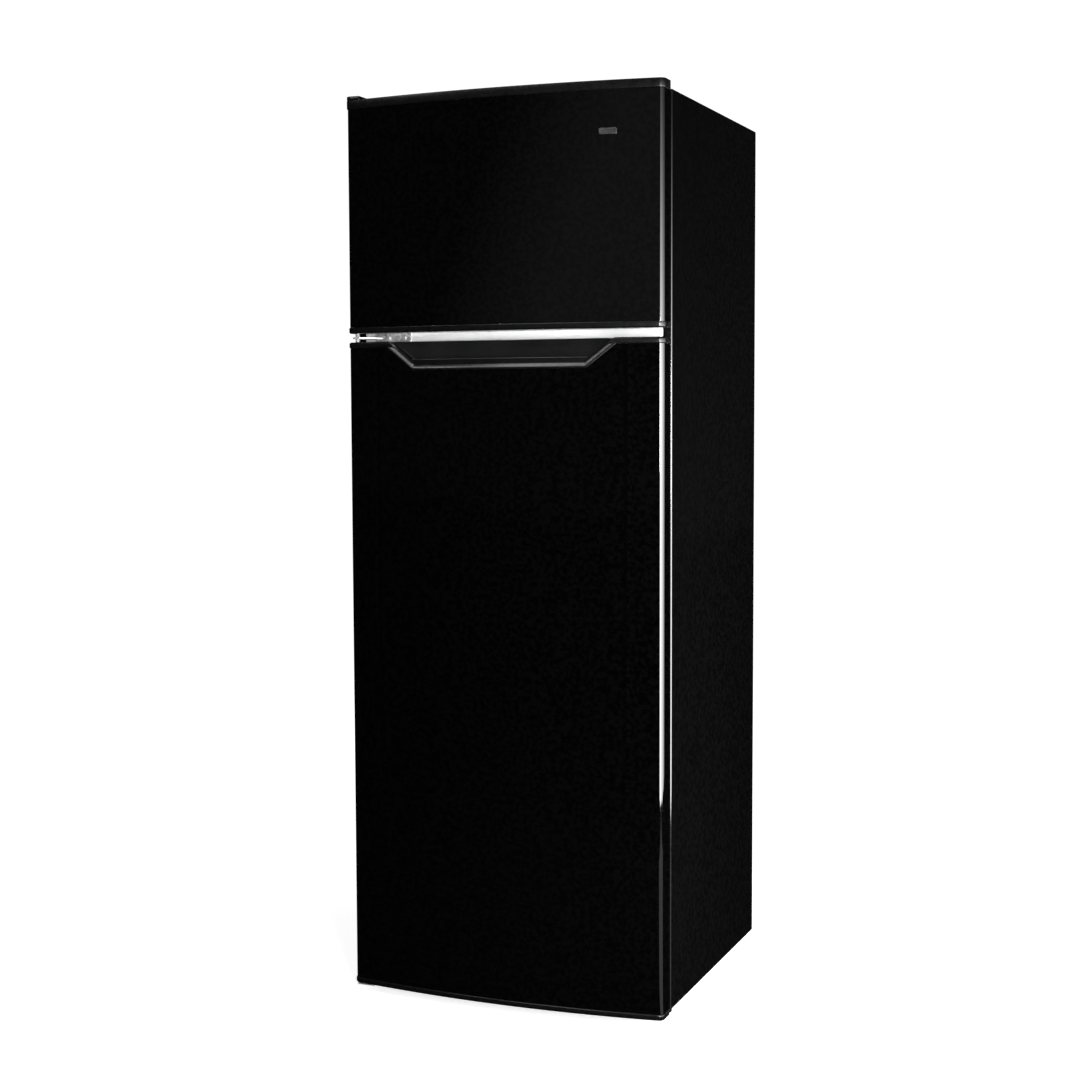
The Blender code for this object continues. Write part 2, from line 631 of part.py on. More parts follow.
def compressor():
    """Sealed compressor: domed shell on a foot plate."""
    x, y = COMPRESSOR
    base = COMPRESSOR_Z + 0.0100
    radius = 0.0560
    profile = [(0.0, 0.1180), (0.0220, 0.1160), (0.0400, 0.1060), (0.0520, 0.0880), (radius, 0.0680),
               (radius, 0.0600), (0.0585, 0.0590), (0.0585, 0.0560), (radius, 0.0550), (0.0540, 0.0300),
               (0.0460, 0.0120), (0.0300, 0.0030), (0.0, 0.0)]
    dome = turned(profile, (0, 0, 0), steps=28)
    for vert in dome.data.vertices:
        vert.co = (vert.co.x * 1.32 + x, vert.co.y + y, vert.co.z + base)
    join(dome, box((x - 0.0950, x + 0.0950), (y - 0.0500, y + 0.0500), (base, base + 0.0030), 0.006, 2,
                   lambda a, b: abs(a.z - b.z) > 0.001))
    for dx in (-0.0840, 0.0840):
        for dy in (-0.0380, 0.0380):
            grommet = cylinder((x + dx, y + dy, COMPRESSOR_Z + 0.0070), 0.0080, 0.0140, sides=12)
            join(dome, grommet)
    join(dome, cylinder((x + 0.0300, y, base + 0.1150), 0.0040, 0.0200, sides=10))
    finish(dome, "compressor", "dark_steel")


def relay_cover():
    """Box over the compressor's starting relay."""
    x = COMPRESSOR[0] + 0.0790
    body = box((x, x + 0.0300), (COMPRESSOR[1] - 0.0220, COMPRESSOR[1] + 0.0220),
               (COMPRESSOR_Z + 0.0350, COMPRESSOR_Z + 0.0950), 0.004, 2)
    finish(body, "compressor_relay_cover", "dark_plastic")


def drip_pan():
    """Shallow tray over the compressor that catches defrost water."""
    z = (0.1770, 0.2050)
    pan = box((-0.1800, 0.0700), (0.1180, 0.2350), z, 0.006, 2, lambda a, b: a.z < 0.18 or b.z < 0.18)
    finish(cut(pan, box((-0.1785, 0.0685), (0.1195, 0.2335), (z[0] + 0.0015, z[1] + 0.01), 0.005, 2,
                        lambda a, b: a.z < 0.18 or b.z < 0.18)), "drip_pan", "dark_plastic")


def condenser_coil():
    """One tube, bent to and fro across the back and led down into the compressor bay."""
    pitch = (COIL_Z[1] - COIL_Z[0]) / (COIL_PASSES - 1)
    bend = pitch / 2
    points = [(0.1500, COIL_Y, COIL_Z[1]), (-COIL_HALF + bend, COIL_Y, COIL_Z[1])]
    side = -1
    for index in range(1, COIL_PASSES):
        middle = COIL_Z[1] - (index - 0.5) * pitch
        centre = side * (COIL_HALF - bend)
        for step in range(1, 7):
            angle = math.pi / 2 - step * math.pi / 6
            points.append((centre + side * bend * math.cos(angle), COIL_Y, middle + bend * math.sin(angle)))
        side = -side
        if index < COIL_PASSES - 1:
            points.append((side * (COIL_HALF - bend), COIL_Y, COIL_Z[1] - index * pitch))
    end = (0.0500, COIL_Y, COIL_Z[0])
    points += [end, (0.0380, COIL_Y, COIL_Z[0] - 0.0050), (0.0330, COIL_Y, COIL_Z[0] - 0.0170),
               (0.0330, COIL_Y, 0.1300), (0.0330, COIL_Y - 0.0060, 0.1180), (0.0330, COIL_Y - 0.0180, 0.1130)]
    finish(tube(points, COIL_R, 1), "condenser_coil", "dark_steel")


def condenser_grid():
    """Flat grid of wires on the coil, hung on the back panel by four feet."""
    half, low, high = 0.2250, COIL_Z[0] - 0.0200, COIL_Z[1] + 0.0200
    y = (COIL_Y + COIL_R + GAP, COIL_Y + COIL_R + GAP + 0.0016)
    grid = box((-half, half), y, (low, high))
    bars = 15
    pitch = 2 * half / bars
    for index in range(bars):
        x = -half + pitch * (index + 0.5)
        room = (pitch - 0.0030) / 2
        cut(grid, box((x - room, x + room), (y[0] - 0.01, y[1] + 0.01), (low + 0.0100, high - 0.0100)))
    for x in both(half - 0.0100, half):
        for z in ((low, low + 0.0100), (high - 0.0100, high)):
            join(grid, box(x, (CAB_BACK + GAP, y[1]), z))
    finish(grid, "condenser_grid", "dark_steel")


def filter_drier():
    """Copper filter between the condenser and the capillary."""
    drier = turned([(0.0, 0.0700), (0.0020, 0.0700), (0.0020, 0.0560), (0.0090, 0.0480), (0.0090, -0.0480),
                    (0.0020, -0.0560), (0.0020, -0.0700), (0.0, -0.0700)], (0.1500, 0.2280, 0.1150), steps=16)
    finish(drier, "filter_drier", "copper")


def cord_gland():
    """Bush in the back panel where the supply cord leaves."""
    x, z = 0.2250, 0.2450
    gland = turned([(0.0, 0.0), (0.0120, 0.0), (0.0120, -0.0020), (0.0110, -0.0040), (0.0066, -0.0046),
                    (0.0060, -0.0100), (0.0, -0.0100)], (x, CAB_BACK + GAP, z), 'Y', 20)
    cut(gland, cylinder((x, CAB_BACK + GAP + 0.0100, z), 0.0036, 0.0140, 'Y', 16))
    finish(gland, "cord_gland", "black_rubber")


def rear_spacer(name, x):
    """Buffer that keeps the back clear of a wall."""
    body = box((x - 0.0200, x + 0.0200), (CAB_BACK + GAP, DEPTH / 2), (1.3400, 1.3800), 0.003, 2)
    finish(body, name, "dark_plastic")


# ---------------------------------------------------------------- inside the freezer
FAN = (0.0, 0.1560, 1.3350)


def evaporator_cover():
    """White back wall of the freezer with its air grilles."""
    outline = rounded_rectangle(FREEZER_HALF - GAP, FREEZER_CAVITY[0] + GAP, FREEZER_CAVITY[1] - GAP, 0.013)
    cover = slab(outline, COVER_Y, COVER_Y + 0.0020, 'Y')
    for index in range(6):
        z = FAN[2] - 0.0350 + index * 0.0120
        cut(cover, box((-0.0450, 0.0450), (COVER_Y - 0.01, COVER_Y + 0.01), (z, z + 0.0060)))
    for index in range(8):
        x = -0.1600 + index * 0.0420
        cut(cover, box((x, x + 0.0260), (COVER_Y - 0.01, COVER_Y + 0.01), (1.1240, 1.1300)))
    finish(cover, "evaporator_cover", "white_plastic")


def evaporator_coil():
    """Finned aluminium coil behind the freezer's back wall."""
    coil = box((-0.1800, 0.1800), (0.1500, 0.1950), (1.1300, 1.2600))
    for index in range(14):
        x = -0.1680 + index * 0.0240
        cut(coil, box((x, x + 0.0210), (0.1400, 0.1850), (1.1200, 1.2700)))
    finish(coil, "evaporator_coil", "aluminium")


def evaporator_fan():
    """Fan wheel that blows cold air through the grille."""
    fan = cylinder(FAN, 0.0130, 0.0140, 'Y', 20)
    for index in range(5):
        blade = box((0.0100, 0.0420), (-0.0006, 0.0006), (-0.0120, 0.0120))
        turn = Matrix.Rotation(index * 2 * math.pi / 5, 4, 'Y') @ Matrix.Rotation(math.radians(62), 4, 'X')
        blade.data.transform(Matrix.Translation(FAN) @ turn)
        join(fan, blade)
    finish(fan, "evaporator_fan", "dark_plastic", FAN)


def freezer_shelf():
    """White slotted shelf across the freezer."""
    half = FREEZER_HALF - GAP
    z = (FREEZER_SHELF_Z, FREEZER_SHELF_Z + 0.0040)
    shelf = box((-half, half), (SHELF_FRONT, COVER_Y - 0.0030), z, 0.001, 1)
    for index in range(9):
        x = -0.1920 + index * 0.0440
        cut(shelf, box((x, x + 0.0320), (SHELF_FRONT + 0.0200, COVER_Y - 0.0230), (z[0] - 0.01, z[1] + 0.01)))
    finish(shelf, "freezer_shelf", "white_plastic")


# ---------------------------------------------------------------- inside the fresh-food space
HOUSING_Y = (-0.0850, 0.0500)
HOUSING_Z = (0.9960, FRIDGE_CAVITY[1] - GAP)
KNOB = (-0.0600, HOUSING_Y[0], 1.0180)


def control_housing():
    """Box under the top of the lining that holds the thermostat and the lamp."""
    body = box((-0.1150, 0.1150), HOUSING_Y, HOUSING_Z, 0.004, 2,
               lambda a, b: a.z < 1.0 or b.z < 1.0)
    lamp_room = box((0.0050, 0.1050), (-0.0650, 0.0350), (HOUSING_Z[0] - 0.01, HOUSING_Z[0] + 0.0360))
    spindle = cylinder((KNOB[0], HOUSING_Y[0], KNOB[2]), 0.0033, 0.03, 'Y', 16)
    finish(cut(body, lamp_room, spindle), "control_housing", "white_plastic")


def thermostat_knob():
    """Round dial with a finger bar, on its spindle."""
    face = HOUSING_Y[0] - GAP
    knob = cylinder((KNOB[0], face - 0.0030, KNOB[2]), 0.0170, 0.0060, 'Y', 32)
    join(knob, box((KNOB[0] - 0.0030, KNOB[0] + 0.0030), (face - 0.0130, face - 0.0040),
                   (KNOB[2] - 0.0150, KNOB[2] + 0.0150), 0.0015, 2))
    join(knob, cylinder((KNOB[0], face + 0.0050, KNOB[2]), 0.0030, 0.0120, 'Y', 16))
    finish(knob, "thermostat_knob", "white_plastic", (KNOB[0], face, KNOB[2]))


def lamp():
    """Small bulb in its cap, lying in the housing."""
    profile = [(0.0, 0.0240), (0.0070, 0.0220), (0.0110, 0.0160), (0.0120, 0.0080), (0.0100, 0.0),
               (0.0070, -0.0060), (0.0070, -0.0240), (0.0, -0.0240)]
    bulb = turned(profile, (0.0550, -0.0150, 1.0170), 'Y', 20)
    finish(bulb, "lamp", "clear_plastic")


def lamp_cover():
    """Clear cover that clips into the housing under the lamp."""
    cover = box((0.0050 + GAP, 0.1050 - GAP), (-0.0650 + GAP, 0.0350 - GAP),
                (HOUSING_Z[0] - 0.0030, HOUSING_Z[0] + 0.0015), 0.001, 1)
    finish(cover, "lamp_cover", "clear_plastic")


def light_switch_plunger():
    """Button in the front flange that the shut door pushes in."""
    x, z = PLUNGER
    front = DOOR_BACK + GAP
    stem = cylinder((x, (front + CAB_FRONT + 0.0250) / 2, z), PLUNGER_R, CAB_FRONT + 0.0250 - front, 'Y', 16)
    finish(stem, "light_switch_plunger", "white_plastic", (x, CAB_FRONT, z))


def glass_shelf(name, level, back, half=FRIDGE_HALF - 0.0010):
    """Tempered glass shelf that lies on the lining's ribs, its rear corners rounded."""
    plate = box((-half, half), (SHELF_FRONT, back), (level, level + 0.0040), LINER_ROUND + 0.0010, 3,
                lambda a, b: a.y > 0 and b.y > 0 and abs(a.z - b.z) > 0.001)
    finish(plate, name, "glass")


DRAWER_FRONT = SHELF_FRONT + 0.0100
DRAWER_Z = (FRIDGE_CAVITY[0] + GAP, SHELF_LEVELS[0] - 0.0100)


def crisper_drawer():
    """Clear vegetable drawer with a finger lip."""
    half = FRIDGE_HALF - RIB[0] - 0.0020
    wall = 0.0025
    back = HUMP_FRONT - 0.0050

    def low(a, b):
        return min(a.z, b.z) < DRAWER_Z[0] + 0.001 or abs(a.z - b.z) > 0.01
    drawer = box((-half, half), (DRAWER_FRONT, back), DRAWER_Z, 0.013, 3, low)
    inner = box((-half + wall, half - wall), (DRAWER_FRONT + wall, back - wall),
                (DRAWER_Z[0] + wall, DRAWER_Z[1] + 0.02), 0.0105, 3,
                lambda a, b: min(a.z, b.z) < DRAWER_Z[0] + 0.02 or abs(a.z - b.z) > 0.01)
    lip = box((-0.1100, 0.1100), (DRAWER_FRONT - 0.0100, DRAWER_FRONT + 0.0010),
              (DRAWER_Z[1] - 0.0300, DRAWER_Z[1] - 0.0260))
    finish(cut(join(drawer, lip), inner), "crisper_drawer", "clear_plastic", (0.0, DRAWER_FRONT, DRAWER_Z[0]))


# ---------------------------------------------------------------- doors
PIVOT = (HINGE_X, HINGE_Y, 0.0)
SKIN_HALF = HALF - 0.0015
RETURN = 0.0120


def door_skin(name, z, opening=None):
    """Crowned steel skin with folded sides and a return behind each of them."""
    outer = door_outline(SKIN_HALF, 0.0, CORNER, DOOR_BACK)
    inner = door_outline(SKIN_HALF - STEEL, STEEL, CORNER - STEEL, DOOR_BACK - STEEL)
    fold = SKIN_HALF - RETURN
    outline = (outer + [(fold, DOOR_BACK), (fold, DOOR_BACK - STEEL)] + inner[::-1]
               + [(-fold, DOOR_BACK - STEEL), (-fold, DOOR_BACK)])
    skin = slab(outline, *z)
    if opening:
        cut(skin, opening)
    finish(skin, name, "black_steel", PIVOT)


def door_cap(name, z, pin_side):
    """Moulded end cap with the hole for a hinge pin."""
    cap = slab(door_outline(HALF, -CAP_PROUD, CORNER, DOOR_BACK), *z)
    finish(cut(cap, pin_side), name, "dark_plastic", PIVOT)


def door_gasket(name, z):
    """Magnetic seal that runs round the back of a door."""
    outer, width = HALF - 0.0105, 0.0120
    y = (DOOR_BACK + GAP, CAB_FRONT - GAP)
    seal = box((-outer, outer), y, (z[0] + 0.0105, z[1] - 0.0105))
    hole = box((-outer + width, outer - width), (y[0] - 0.01, y[1] + 0.01),
               (z[0] + 0.0105 + width, z[1] - 0.0105 - width))
    finish(cut(seal, hole), name, "gasket", PIVOT)


DYKE_DEPTH = 0.0300           # how far a door's raised frame reaches into the cabinet
DYKE_WIDTH = 0.0200
FREEZER_DYKE = (FREEZER_CAVITY[0] + 0.0100, FREEZER_CAVITY[1] - 0.0100, 0.2150)
FRIDGE_DYKE = (FRIDGE_CAVITY[0] + 0.0120, FRIDGE_CAVITY[1] - 0.0120, 0.2190)


def dyke(rim, inset, start):
    """Raised frame on a door's lining, from start to its crest, smaller by inset all round."""
    low, high, half = rim[0] + inset, rim[1] - inset, rim[2] - inset
    frame = box((-half, half), (start, CAB_FRONT + DYKE_DEPTH - inset), (low, high), 0.006, 2,
                lambda a, b: a.y > DOOR_BACK or b.y > DOOR_BACK)
    width = DYKE_WIDTH - 2 * inset
    hole = box((-half + width, half - width), (start - 0.01, CAB_FRONT + 0.1), (low + width, high - width))
    return cut(frame, hole)


def door_liner(name, z, rim):
    """White inner panel of a door with a hollow raised frame that holds the bins."""
    half = SKIN_HALF - RETURN - GAP
    panel = box((-half, half), (DOOR_BACK - LINER, DOOR_BACK), z)
    join(panel, dyke(rim, 0.0, DOOR_BACK - LINER))
    finish(cut(panel, dyke(rim, LINER, DOOR_BACK - 0.0100)), name, "white_plastic", PIVOT)


def door_foam(name, z, rim, openings=()):
    """Insulation that fills a door and its raised frame."""
    room = STEEL + GAP
    back = DOOR_BACK - LINER - GAP
    foam = slab(door_outline(SKIN_HALF - room, room, CORNER - room, back), *z)
    join(foam, dyke(rim, LINER + GAP, back - 0.0050))
    cut(foam, *openings)
    finish(foam, name, "foam", PIVOT)


def door_bin(name, half, bottom, height, depth):
    """Open bin that hangs between the sides of a door's raised frame."""
    wall = 0.0020
    y = (DOOR_BACK + GAP, CAB_FRONT + depth)

    def rounded(a, b):
        return abs(a.z - b.z) > 0.01 and a.y > CAB_FRONT or (a.y > CAB_FRONT and b.y > CAB_FRONT
                                                              and a.z < bottom + 0.001 and b.z < bottom + 0.001)
    body = box((-half, half), y, (bottom, bottom + height), 0.008, 2, rounded)
    inner = box((-half + wall, half - wall), (y[0] + wall, y[1] - wall),
                (bottom + wall, bottom + height + 0.02), 0.006, 2,
                lambda a, b: a.y > CAB_FRONT and b.y > CAB_FRONT
                and (abs(a.z - b.z) > 0.01 or a.z < bottom + 0.01))
    finish(cut(body, inner), name, "clear_plastic", PIVOT)


def pin_hole(z):
    """Cutter for a hinge pin."""
    return cylinder((HINGE_X, HINGE_Y, z), PIN_HOLE_R, 0.0500, sides=16)


def freezer_door():
    """All the pieces of the upper door."""
    low, high = FREEZER_DOOR
    skin = (low + CAP + GAP, high - TOP_CAP - GAP)
    door_skin("freezer_door_skin", skin)
    door_cap("freezer_door_top_cap", (high - TOP_CAP, high), pin_hole(high))
    door_cap("freezer_door_bottom_cap", (low, low + CAP), pin_hole(low))
    door_foam("freezer_door_foam", skin, FREEZER_DYKE)
    door_liner("freezer_door_liner", skin, FREEZER_DYKE)
    door_gasket("freezer_door_gasket", FREEZER_DOOR)
    half = FREEZER_DYKE[2] - 0.0200 - GAP
    door_bin("freezer_door_bin_lower", half, FREEZER_DYKE[0] + 0.0205, 0.0600, 0.0750)
    door_bin("freezer_door_bin_upper", half, FREEZER_DYKE[0] + 0.1250, 0.0550, 0.0650)


def nameplate():
    """Plain metal badge on the freezer door, with nothing written on it."""
    half_width, half_height, thickness = 0.0140, 0.0048, 0.0012
    middle = (0.1810, 1.3760)
    front = crown_y(middle[0] - half_width, -thickness - GAP)
    plate = box((-half_width, half_width), (-thickness / 2, thickness / 2), (-half_height, half_height), 0.0004, 1)
    lean = math.atan(2 * CROWN * middle[0] / HALF ** 2)
    y = crown_y(middle[0], -thickness / 2 - GAP)
    plate.data.transform(Matrix.Translation((middle[0], y, middle[1])) @ Matrix.Rotation(lean, 4, 'Z'))
    finish(plate, "nameplate", "zinc", PIVOT)


def trapezoid(depth, inset, top=None):
    """Outline of the grip in front view, depth below the door's top; inset narrows it."""
    slope = (GRIP_TOP_HALF - GRIP_BOTTOM_HALF) / GRIP_DEPTH
    side = inset * math.hypot(1, slope)
    door_top = FRIDGE_DOOR[1]
    top = door_top if top is None else top
    floor = door_top - depth
    at_floor = GRIP_BOTTOM_HALF + slope * (floor - door_top + GRIP_DEPTH) - side
    at_top = GRIP_BOTTOM_HALF + slope * (top - door_top + GRIP_DEPTH) - side
    return [(-at_floor, floor), (at_floor, floor), (at_top, top), (-at_top, top)]


def crowned_strip(front_shift, back, z):
    """Solid behind a door's crowned front, as wide as the grip; back is a line or a second shift."""
    reach = GRIP_TOP_HALF + 0.0070
    across = [reach * (step / 9 - 1) for step in range(19)]
    front = [(x, crown_y(x, front_shift)) for x in across]
    if back is None:
        rear = [(x, crown_y(x, GRIP_STEP - CAP_PROUD)) for x in reversed(across)]
    else:
        rear = [(reach, back), (-reach, back)]
    return slab(front + rear, *z)


def fridge_door_top_cap():
    """End cap whose rim dips round the grip and forms the lip that fingers pull on."""
    top = FRIDGE_DOOR[1]
    over = top + 0.0200
    cap = slab(door_outline(HALF, -CAP_PROUD, CORNER, DOOR_BACK), top - CAP, top)
    band = crowned_strip(-CAP_PROUD, LIP_BACK, (top - GRIP_DEPTH - 0.0100, top))
    join(cap, common(band, slab(trapezoid(GRIP_DEPTH, 0.0), FRONT - 0.01, LIP_BACK + 0.01, 'Y')))
    cut(cap, slab(trapezoid(LIP_DROP, GRIP_RIM, over), FRONT - 0.02, CUP_BACK + GAP, 'Y'))
    rim_step = crowned_strip(-0.0200, None, (top - GRIP_DEPTH - 0.0100, over + 0.0100))
    step_outline = trapezoid(GRIP_DEPTH - GRIP_RIM, GRIP_RIM - 0.0015, over)
    cut(cap, common(rim_step, slab(step_outline, FRONT - 0.05, LIP_BACK + 0.01, 'Y')))
    cut(cap, slab(trapezoid(GRIP_DEPTH, GRIP_RIM * 0.4, over), LIP_BACK, CUP_BACK + GAP, 'Y'))
    finish(cut(cap, pin_hole(top)), "fridge_door_top_cap", "dark_plastic", PIVOT)


def fridge_door_grip_cup():
    """Dark textured pocket behind the lip, open at the top."""
    top = FRIDGE_DOOR[1]
    wall = 0.0015
    outer = trapezoid(GRIP_DEPTH - GAP, GRIP_RIM * 0.4 + GAP, top)
    inner = trapezoid(GRIP_DEPTH - GAP - wall, GRIP_RIM * 0.4 + GAP + wall, top + 0.02)
    cup = slab(outer, LIP_BACK + GAP, CUP_BACK, 'Y')
    cut(cup, slab(inner, LIP_BACK - 0.01, CUP_BACK - wall, 'Y'))
    finish(cup, "fridge_door_grip_cup", "dark_plastic", PIVOT)


def fridge_door():
    """All the pieces of the lower door."""
    low, high = FRIDGE_DOOR
    skin = (low + CAP + GAP, high - CAP - GAP)
    over = high + 0.02
    window = slab(trapezoid(GRIP_DEPTH + GAP, -GAP, over), FRONT - 0.02, EDGE_Y + 0.0080, 'Y')
    door_skin("fridge_door_skin", skin, window)
    fridge_door_top_cap()
    fridge_door_grip_cup()
    door_cap("fridge_door_bottom_cap", (low, low + CAP), pin_hole(low))
    lip_room = slab(trapezoid(GRIP_DEPTH + GAP, -GAP, over), FRONT - 0.02, LIP_BACK + GAP, 'Y')
    cup_room = slab(trapezoid(GRIP_DEPTH + GAP, 0.0, over), LIP_BACK - 0.005, CUP_BACK + GAP, 'Y')
    door_foam("fridge_door_foam", skin, FRIDGE_DYKE, (lip_room, cup_room))
    door_liner("fridge_door_liner", skin, FRIDGE_DYKE)
    door_gasket("fridge_door_gasket", FRIDGE_DOOR)
    half = FRIDGE_DYKE[2] - 0.0200 - GAP
    door_bin("fridge_door_bin_lower", half, FRIDGE_DYKE[0] + 0.0205, 0.1000, 0.0700)
    door_bin("fridge_door_bin_middle", half, 0.4300, 0.0750, 0.0800)
    door_bin("fridge_door_bin_upper", half, 0.7600, 0.0650, 0.0700)


# ---------------------------------------------------------------- the whole object
cabinet_shell()
back_panel()
floor_sheet()
cabinet_foam()
freezer_liner()
fridge_liner()
center_mullion()
top_hinge()
top_hinge_cover()
middle_hinge()
for number, screw_x in enumerate(MIDDLE_SCREWS, 1):
    screw(f"middle_hinge_screw_{number}", (screw_x, CAB_FRONT - 0.0023 - GAP, MIDDLE_Z))
screw("top_hinge_screw", (*TOP_SCREW, TOP_PLATE_Z[1] + GAP), False)
bottom_hinge()
front_foot("front_foot_left", -FRONT_FEET)
front_foot("front_foot_right", FRONT_FEET)
rear_foot("rear_foot_left", -0.2100)
rear_foot("rear_foot_right", 0.2100)
compressor_tray()
compressor()
relay_cover()
drip_pan()
condenser_coil()
condenser_grid()
filter_drier()
cord_gland()
rear_spacer("rear_spacer_left", -0.2350)
rear_spacer("rear_spacer_right", 0.2350)
evaporator_cover()
evaporator_coil()
evaporator_fan()
freezer_shelf()
control_housing()
thermostat_knob()
lamp()
lamp_cover()
light_switch_plunger()
glass_shelf("crisper_cover", SHELF_LEVELS[0], CAVITY_BACK - LINER_ROUND - 0.0020, FRIDGE_HALF - 0.0045)
glass_shelf("glass_shelf_lower", SHELF_LEVELS[1], CAVITY_BACK - 0.0020)
glass_shelf("glass_shelf_upper", SHELF_LEVELS[2], CAVITY_BACK - 0.0020)
crisper_drawer()
freezer_door()
nameplate()
fridge_door()
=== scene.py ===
import math

import bmesh
import bpy
from mathutils import Matrix, Vector

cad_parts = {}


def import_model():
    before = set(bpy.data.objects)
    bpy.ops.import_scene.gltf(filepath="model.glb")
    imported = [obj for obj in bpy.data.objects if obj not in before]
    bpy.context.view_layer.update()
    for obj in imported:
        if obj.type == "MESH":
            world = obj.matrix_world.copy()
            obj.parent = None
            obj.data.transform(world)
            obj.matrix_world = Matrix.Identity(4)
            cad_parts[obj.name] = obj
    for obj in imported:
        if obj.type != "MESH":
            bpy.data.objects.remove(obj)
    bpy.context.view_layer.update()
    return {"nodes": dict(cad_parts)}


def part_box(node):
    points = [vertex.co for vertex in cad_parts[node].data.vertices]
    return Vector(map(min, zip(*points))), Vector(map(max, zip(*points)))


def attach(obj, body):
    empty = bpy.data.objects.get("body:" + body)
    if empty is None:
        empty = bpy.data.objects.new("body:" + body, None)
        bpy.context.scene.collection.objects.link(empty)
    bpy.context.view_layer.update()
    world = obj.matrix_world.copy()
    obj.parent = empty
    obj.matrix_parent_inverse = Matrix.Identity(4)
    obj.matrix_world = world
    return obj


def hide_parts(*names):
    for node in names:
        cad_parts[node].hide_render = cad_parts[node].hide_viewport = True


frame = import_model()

# ---------------- sizes in metres, boxes read from the frame
GAP = 0.0003                  # clearance between neighbouring pieces
SHELL_LOW, SHELL_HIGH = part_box("cabinet_shell")
HALF = SHELL_HIGH.x
CAB_FRONT, CAB_BACK = SHELL_LOW.y, SHELL_HIGH.y
STEEL = 0.0010                # sheet of the wrapper and the door skins
FLANGE = 0.0140               # folded front edge of the wrapper
SKIN_LOW, SKIN_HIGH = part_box("fridge_door_skin")
SKIN_HALF = SKIN_HIGH.x
DOOR_BACK = SKIN_HIGH.y
CROWN = 0.0210                # bulge of a door front at mid width
CORNER = 0.0075               # radius of a skin's vertical edges
CAP_CORNER = 0.0100           # radius of the caps over and under it
CAP_LOW, CAP_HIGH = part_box("fridge_door_top_cap")
PROUD = SKIN_LOW.y - CAP_LOW.y
DOOR_TOP = CAP_HIGH.z
CAP = DOOR_TOP - GAP - SKIN_HIGH.z


# ---------------- mesh helpers
def from_bmesh(bm):
    """Loose object made of a bmesh."""
    mesh = bpy.data.meshes.new("part")
    bmesh.ops.recalc_face_normals(bm, faces=bm.faces)
    bm.to_mesh(mesh)
    bm.free()
    obj = bpy.data.objects.new("part", mesh)
    bpy.context.scene.collection.objects.link(obj)
    return obj


def skin(rings):
    """Surface through closed rings of equal length; both ends are filled."""
    bm = bmesh.new()
    rows = [[bm.verts.new(point) for point in ring] for ring in rings]
    count = len(rows[0])
    for low, high in zip(rows, rows[1:]):
        for index in range(count):
            after = (index + 1) % count
            bm.faces.new((low[index], low[after], high[after], high[index]))
    bm.faces.new(rows[0][::-1])
    bm.faces.new(rows[-1])
    return from_bmesh(bm)


def grow(points, distance):
    """Counter-clockwise outline moved outwards by a distance."""
    moved = []
    count = len(points)
    for index in range(count):
        before, here = Vector(points[index - 1]), Vector(points[index])
        after = Vector(points[(index + 1) % count])
        first, second = (here - before).normalized(), (after - here).normalized()
        normal = Vector((first.y, -first.x))
        bisector = (normal + Vector((second.y, -second.x))).normalized()
        moved.append(tuple(here + bisector * distance / max(bisector.dot(normal), 0.3)))
    return moved


def placed(u, v, w, axis):
    """Point of a flat outline (u, v) at height w along an axis."""
    if axis == 'Z':
        return (u, v, w)
    return (u, w, v) if axis == 'Y' else (w, u, v)


def quarter(steps=5):
    """Quarter of a round edge of radius 1, as pairs that run from (1, 0) to (0, 1)."""
    angles = [math.pi / 2 * step / steps for step in range(steps + 1)]
    return [(1 - math.sin(angle), 1 - math.cos(angle)) for angle in angles]


def rim(low, high, first, second, steps=4):
    """(inset, height) pairs of a straight wall whose two edges are rounded."""
    lower = [(first * a, low + first * b) for a, b in quarter(steps)]
    return lower + [(second * b, high - second * a) for a, b in quarter(steps)]


def heading(path, index):
    """Direction of a line of points at one of them."""
    before, after = path[max(index - 1, 0)], path[min(index + 1, len(path) - 1)]
    return (after - before).normalized()


def prism(points, low, high, axis='Z', first=0.0006, second=0.0006, steps=4):
    """Outline given a thickness, with rounded edges at both ends."""
    rings = []
    for inset, height in rim(low, high, first, second, steps):
        rings.append([placed(u, v, height, axis) for u, v in grow(points, -inset)])
    return skin(rings)


def turned(profile, centre, axis='Z', steps=40, scale_x=1.0):
    """Turned body: (radius, height) pairs along the axis."""
    rings = []
    for radius, height in profile:
        ring = []
        for step in range(steps):
            angle = 2 * math.pi * step / steps
            u, v = scale_x * radius * math.cos(angle), radius * math.sin(angle)
            offset = {'Z': (u, v, height), 'Y': (u, height, v), 'X': (height, u, v)}[axis]
            ring.append(Vector(centre) + Vector(offset))
        rings.append(ring)
    return skin(rings)


def tube(points, radius, sides=10):
    """Round tube along a line of points."""
    path = [Vector(p) for p in points]
    rings = []
    side = None
    for index, here in enumerate(path):
        along = heading(path, index)
        if side is None:
            side = along.orthogonal().normalized()
        side = (side - along * side.dot(along)).normalized()
        other = along.cross(side)
        ring = []
        for step in range(sides):
            angle = 2 * math.pi * step / sides
            ring.append(here + radius * (math.cos(angle) * side + math.sin(angle) * other))
        rings.append(ring)
    return skin(rings)


def edged_box(low, high, radius, segments, chosen=lambda first, second: True):
    """Box whose chosen edges are rounded: chosen is asked with the two ends of an edge."""
    low, high = Vector(low), Vector(high)
    bm = bmesh.new()
    bmesh.ops.create_cube(bm, size=1.0)
    bmesh.ops.scale(bm, vec=high - low, verts=bm.verts)
    bmesh.ops.translate(bm, vec=(low + high) / 2, verts=bm.verts)
    edges = [e for e in bm.edges if chosen(e.verts[0].co, e.verts[1].co)]
    bmesh.ops.bevel(bm, geom=edges, offset=radius, segments=segments, profile=0.5, affect='EDGES')
    return from_bmesh(bm)


def cutter(low, high):
    """Box with hardly rounded edges, to be cut out of something."""
    return edged_box(low, high, 0.0001, 1)


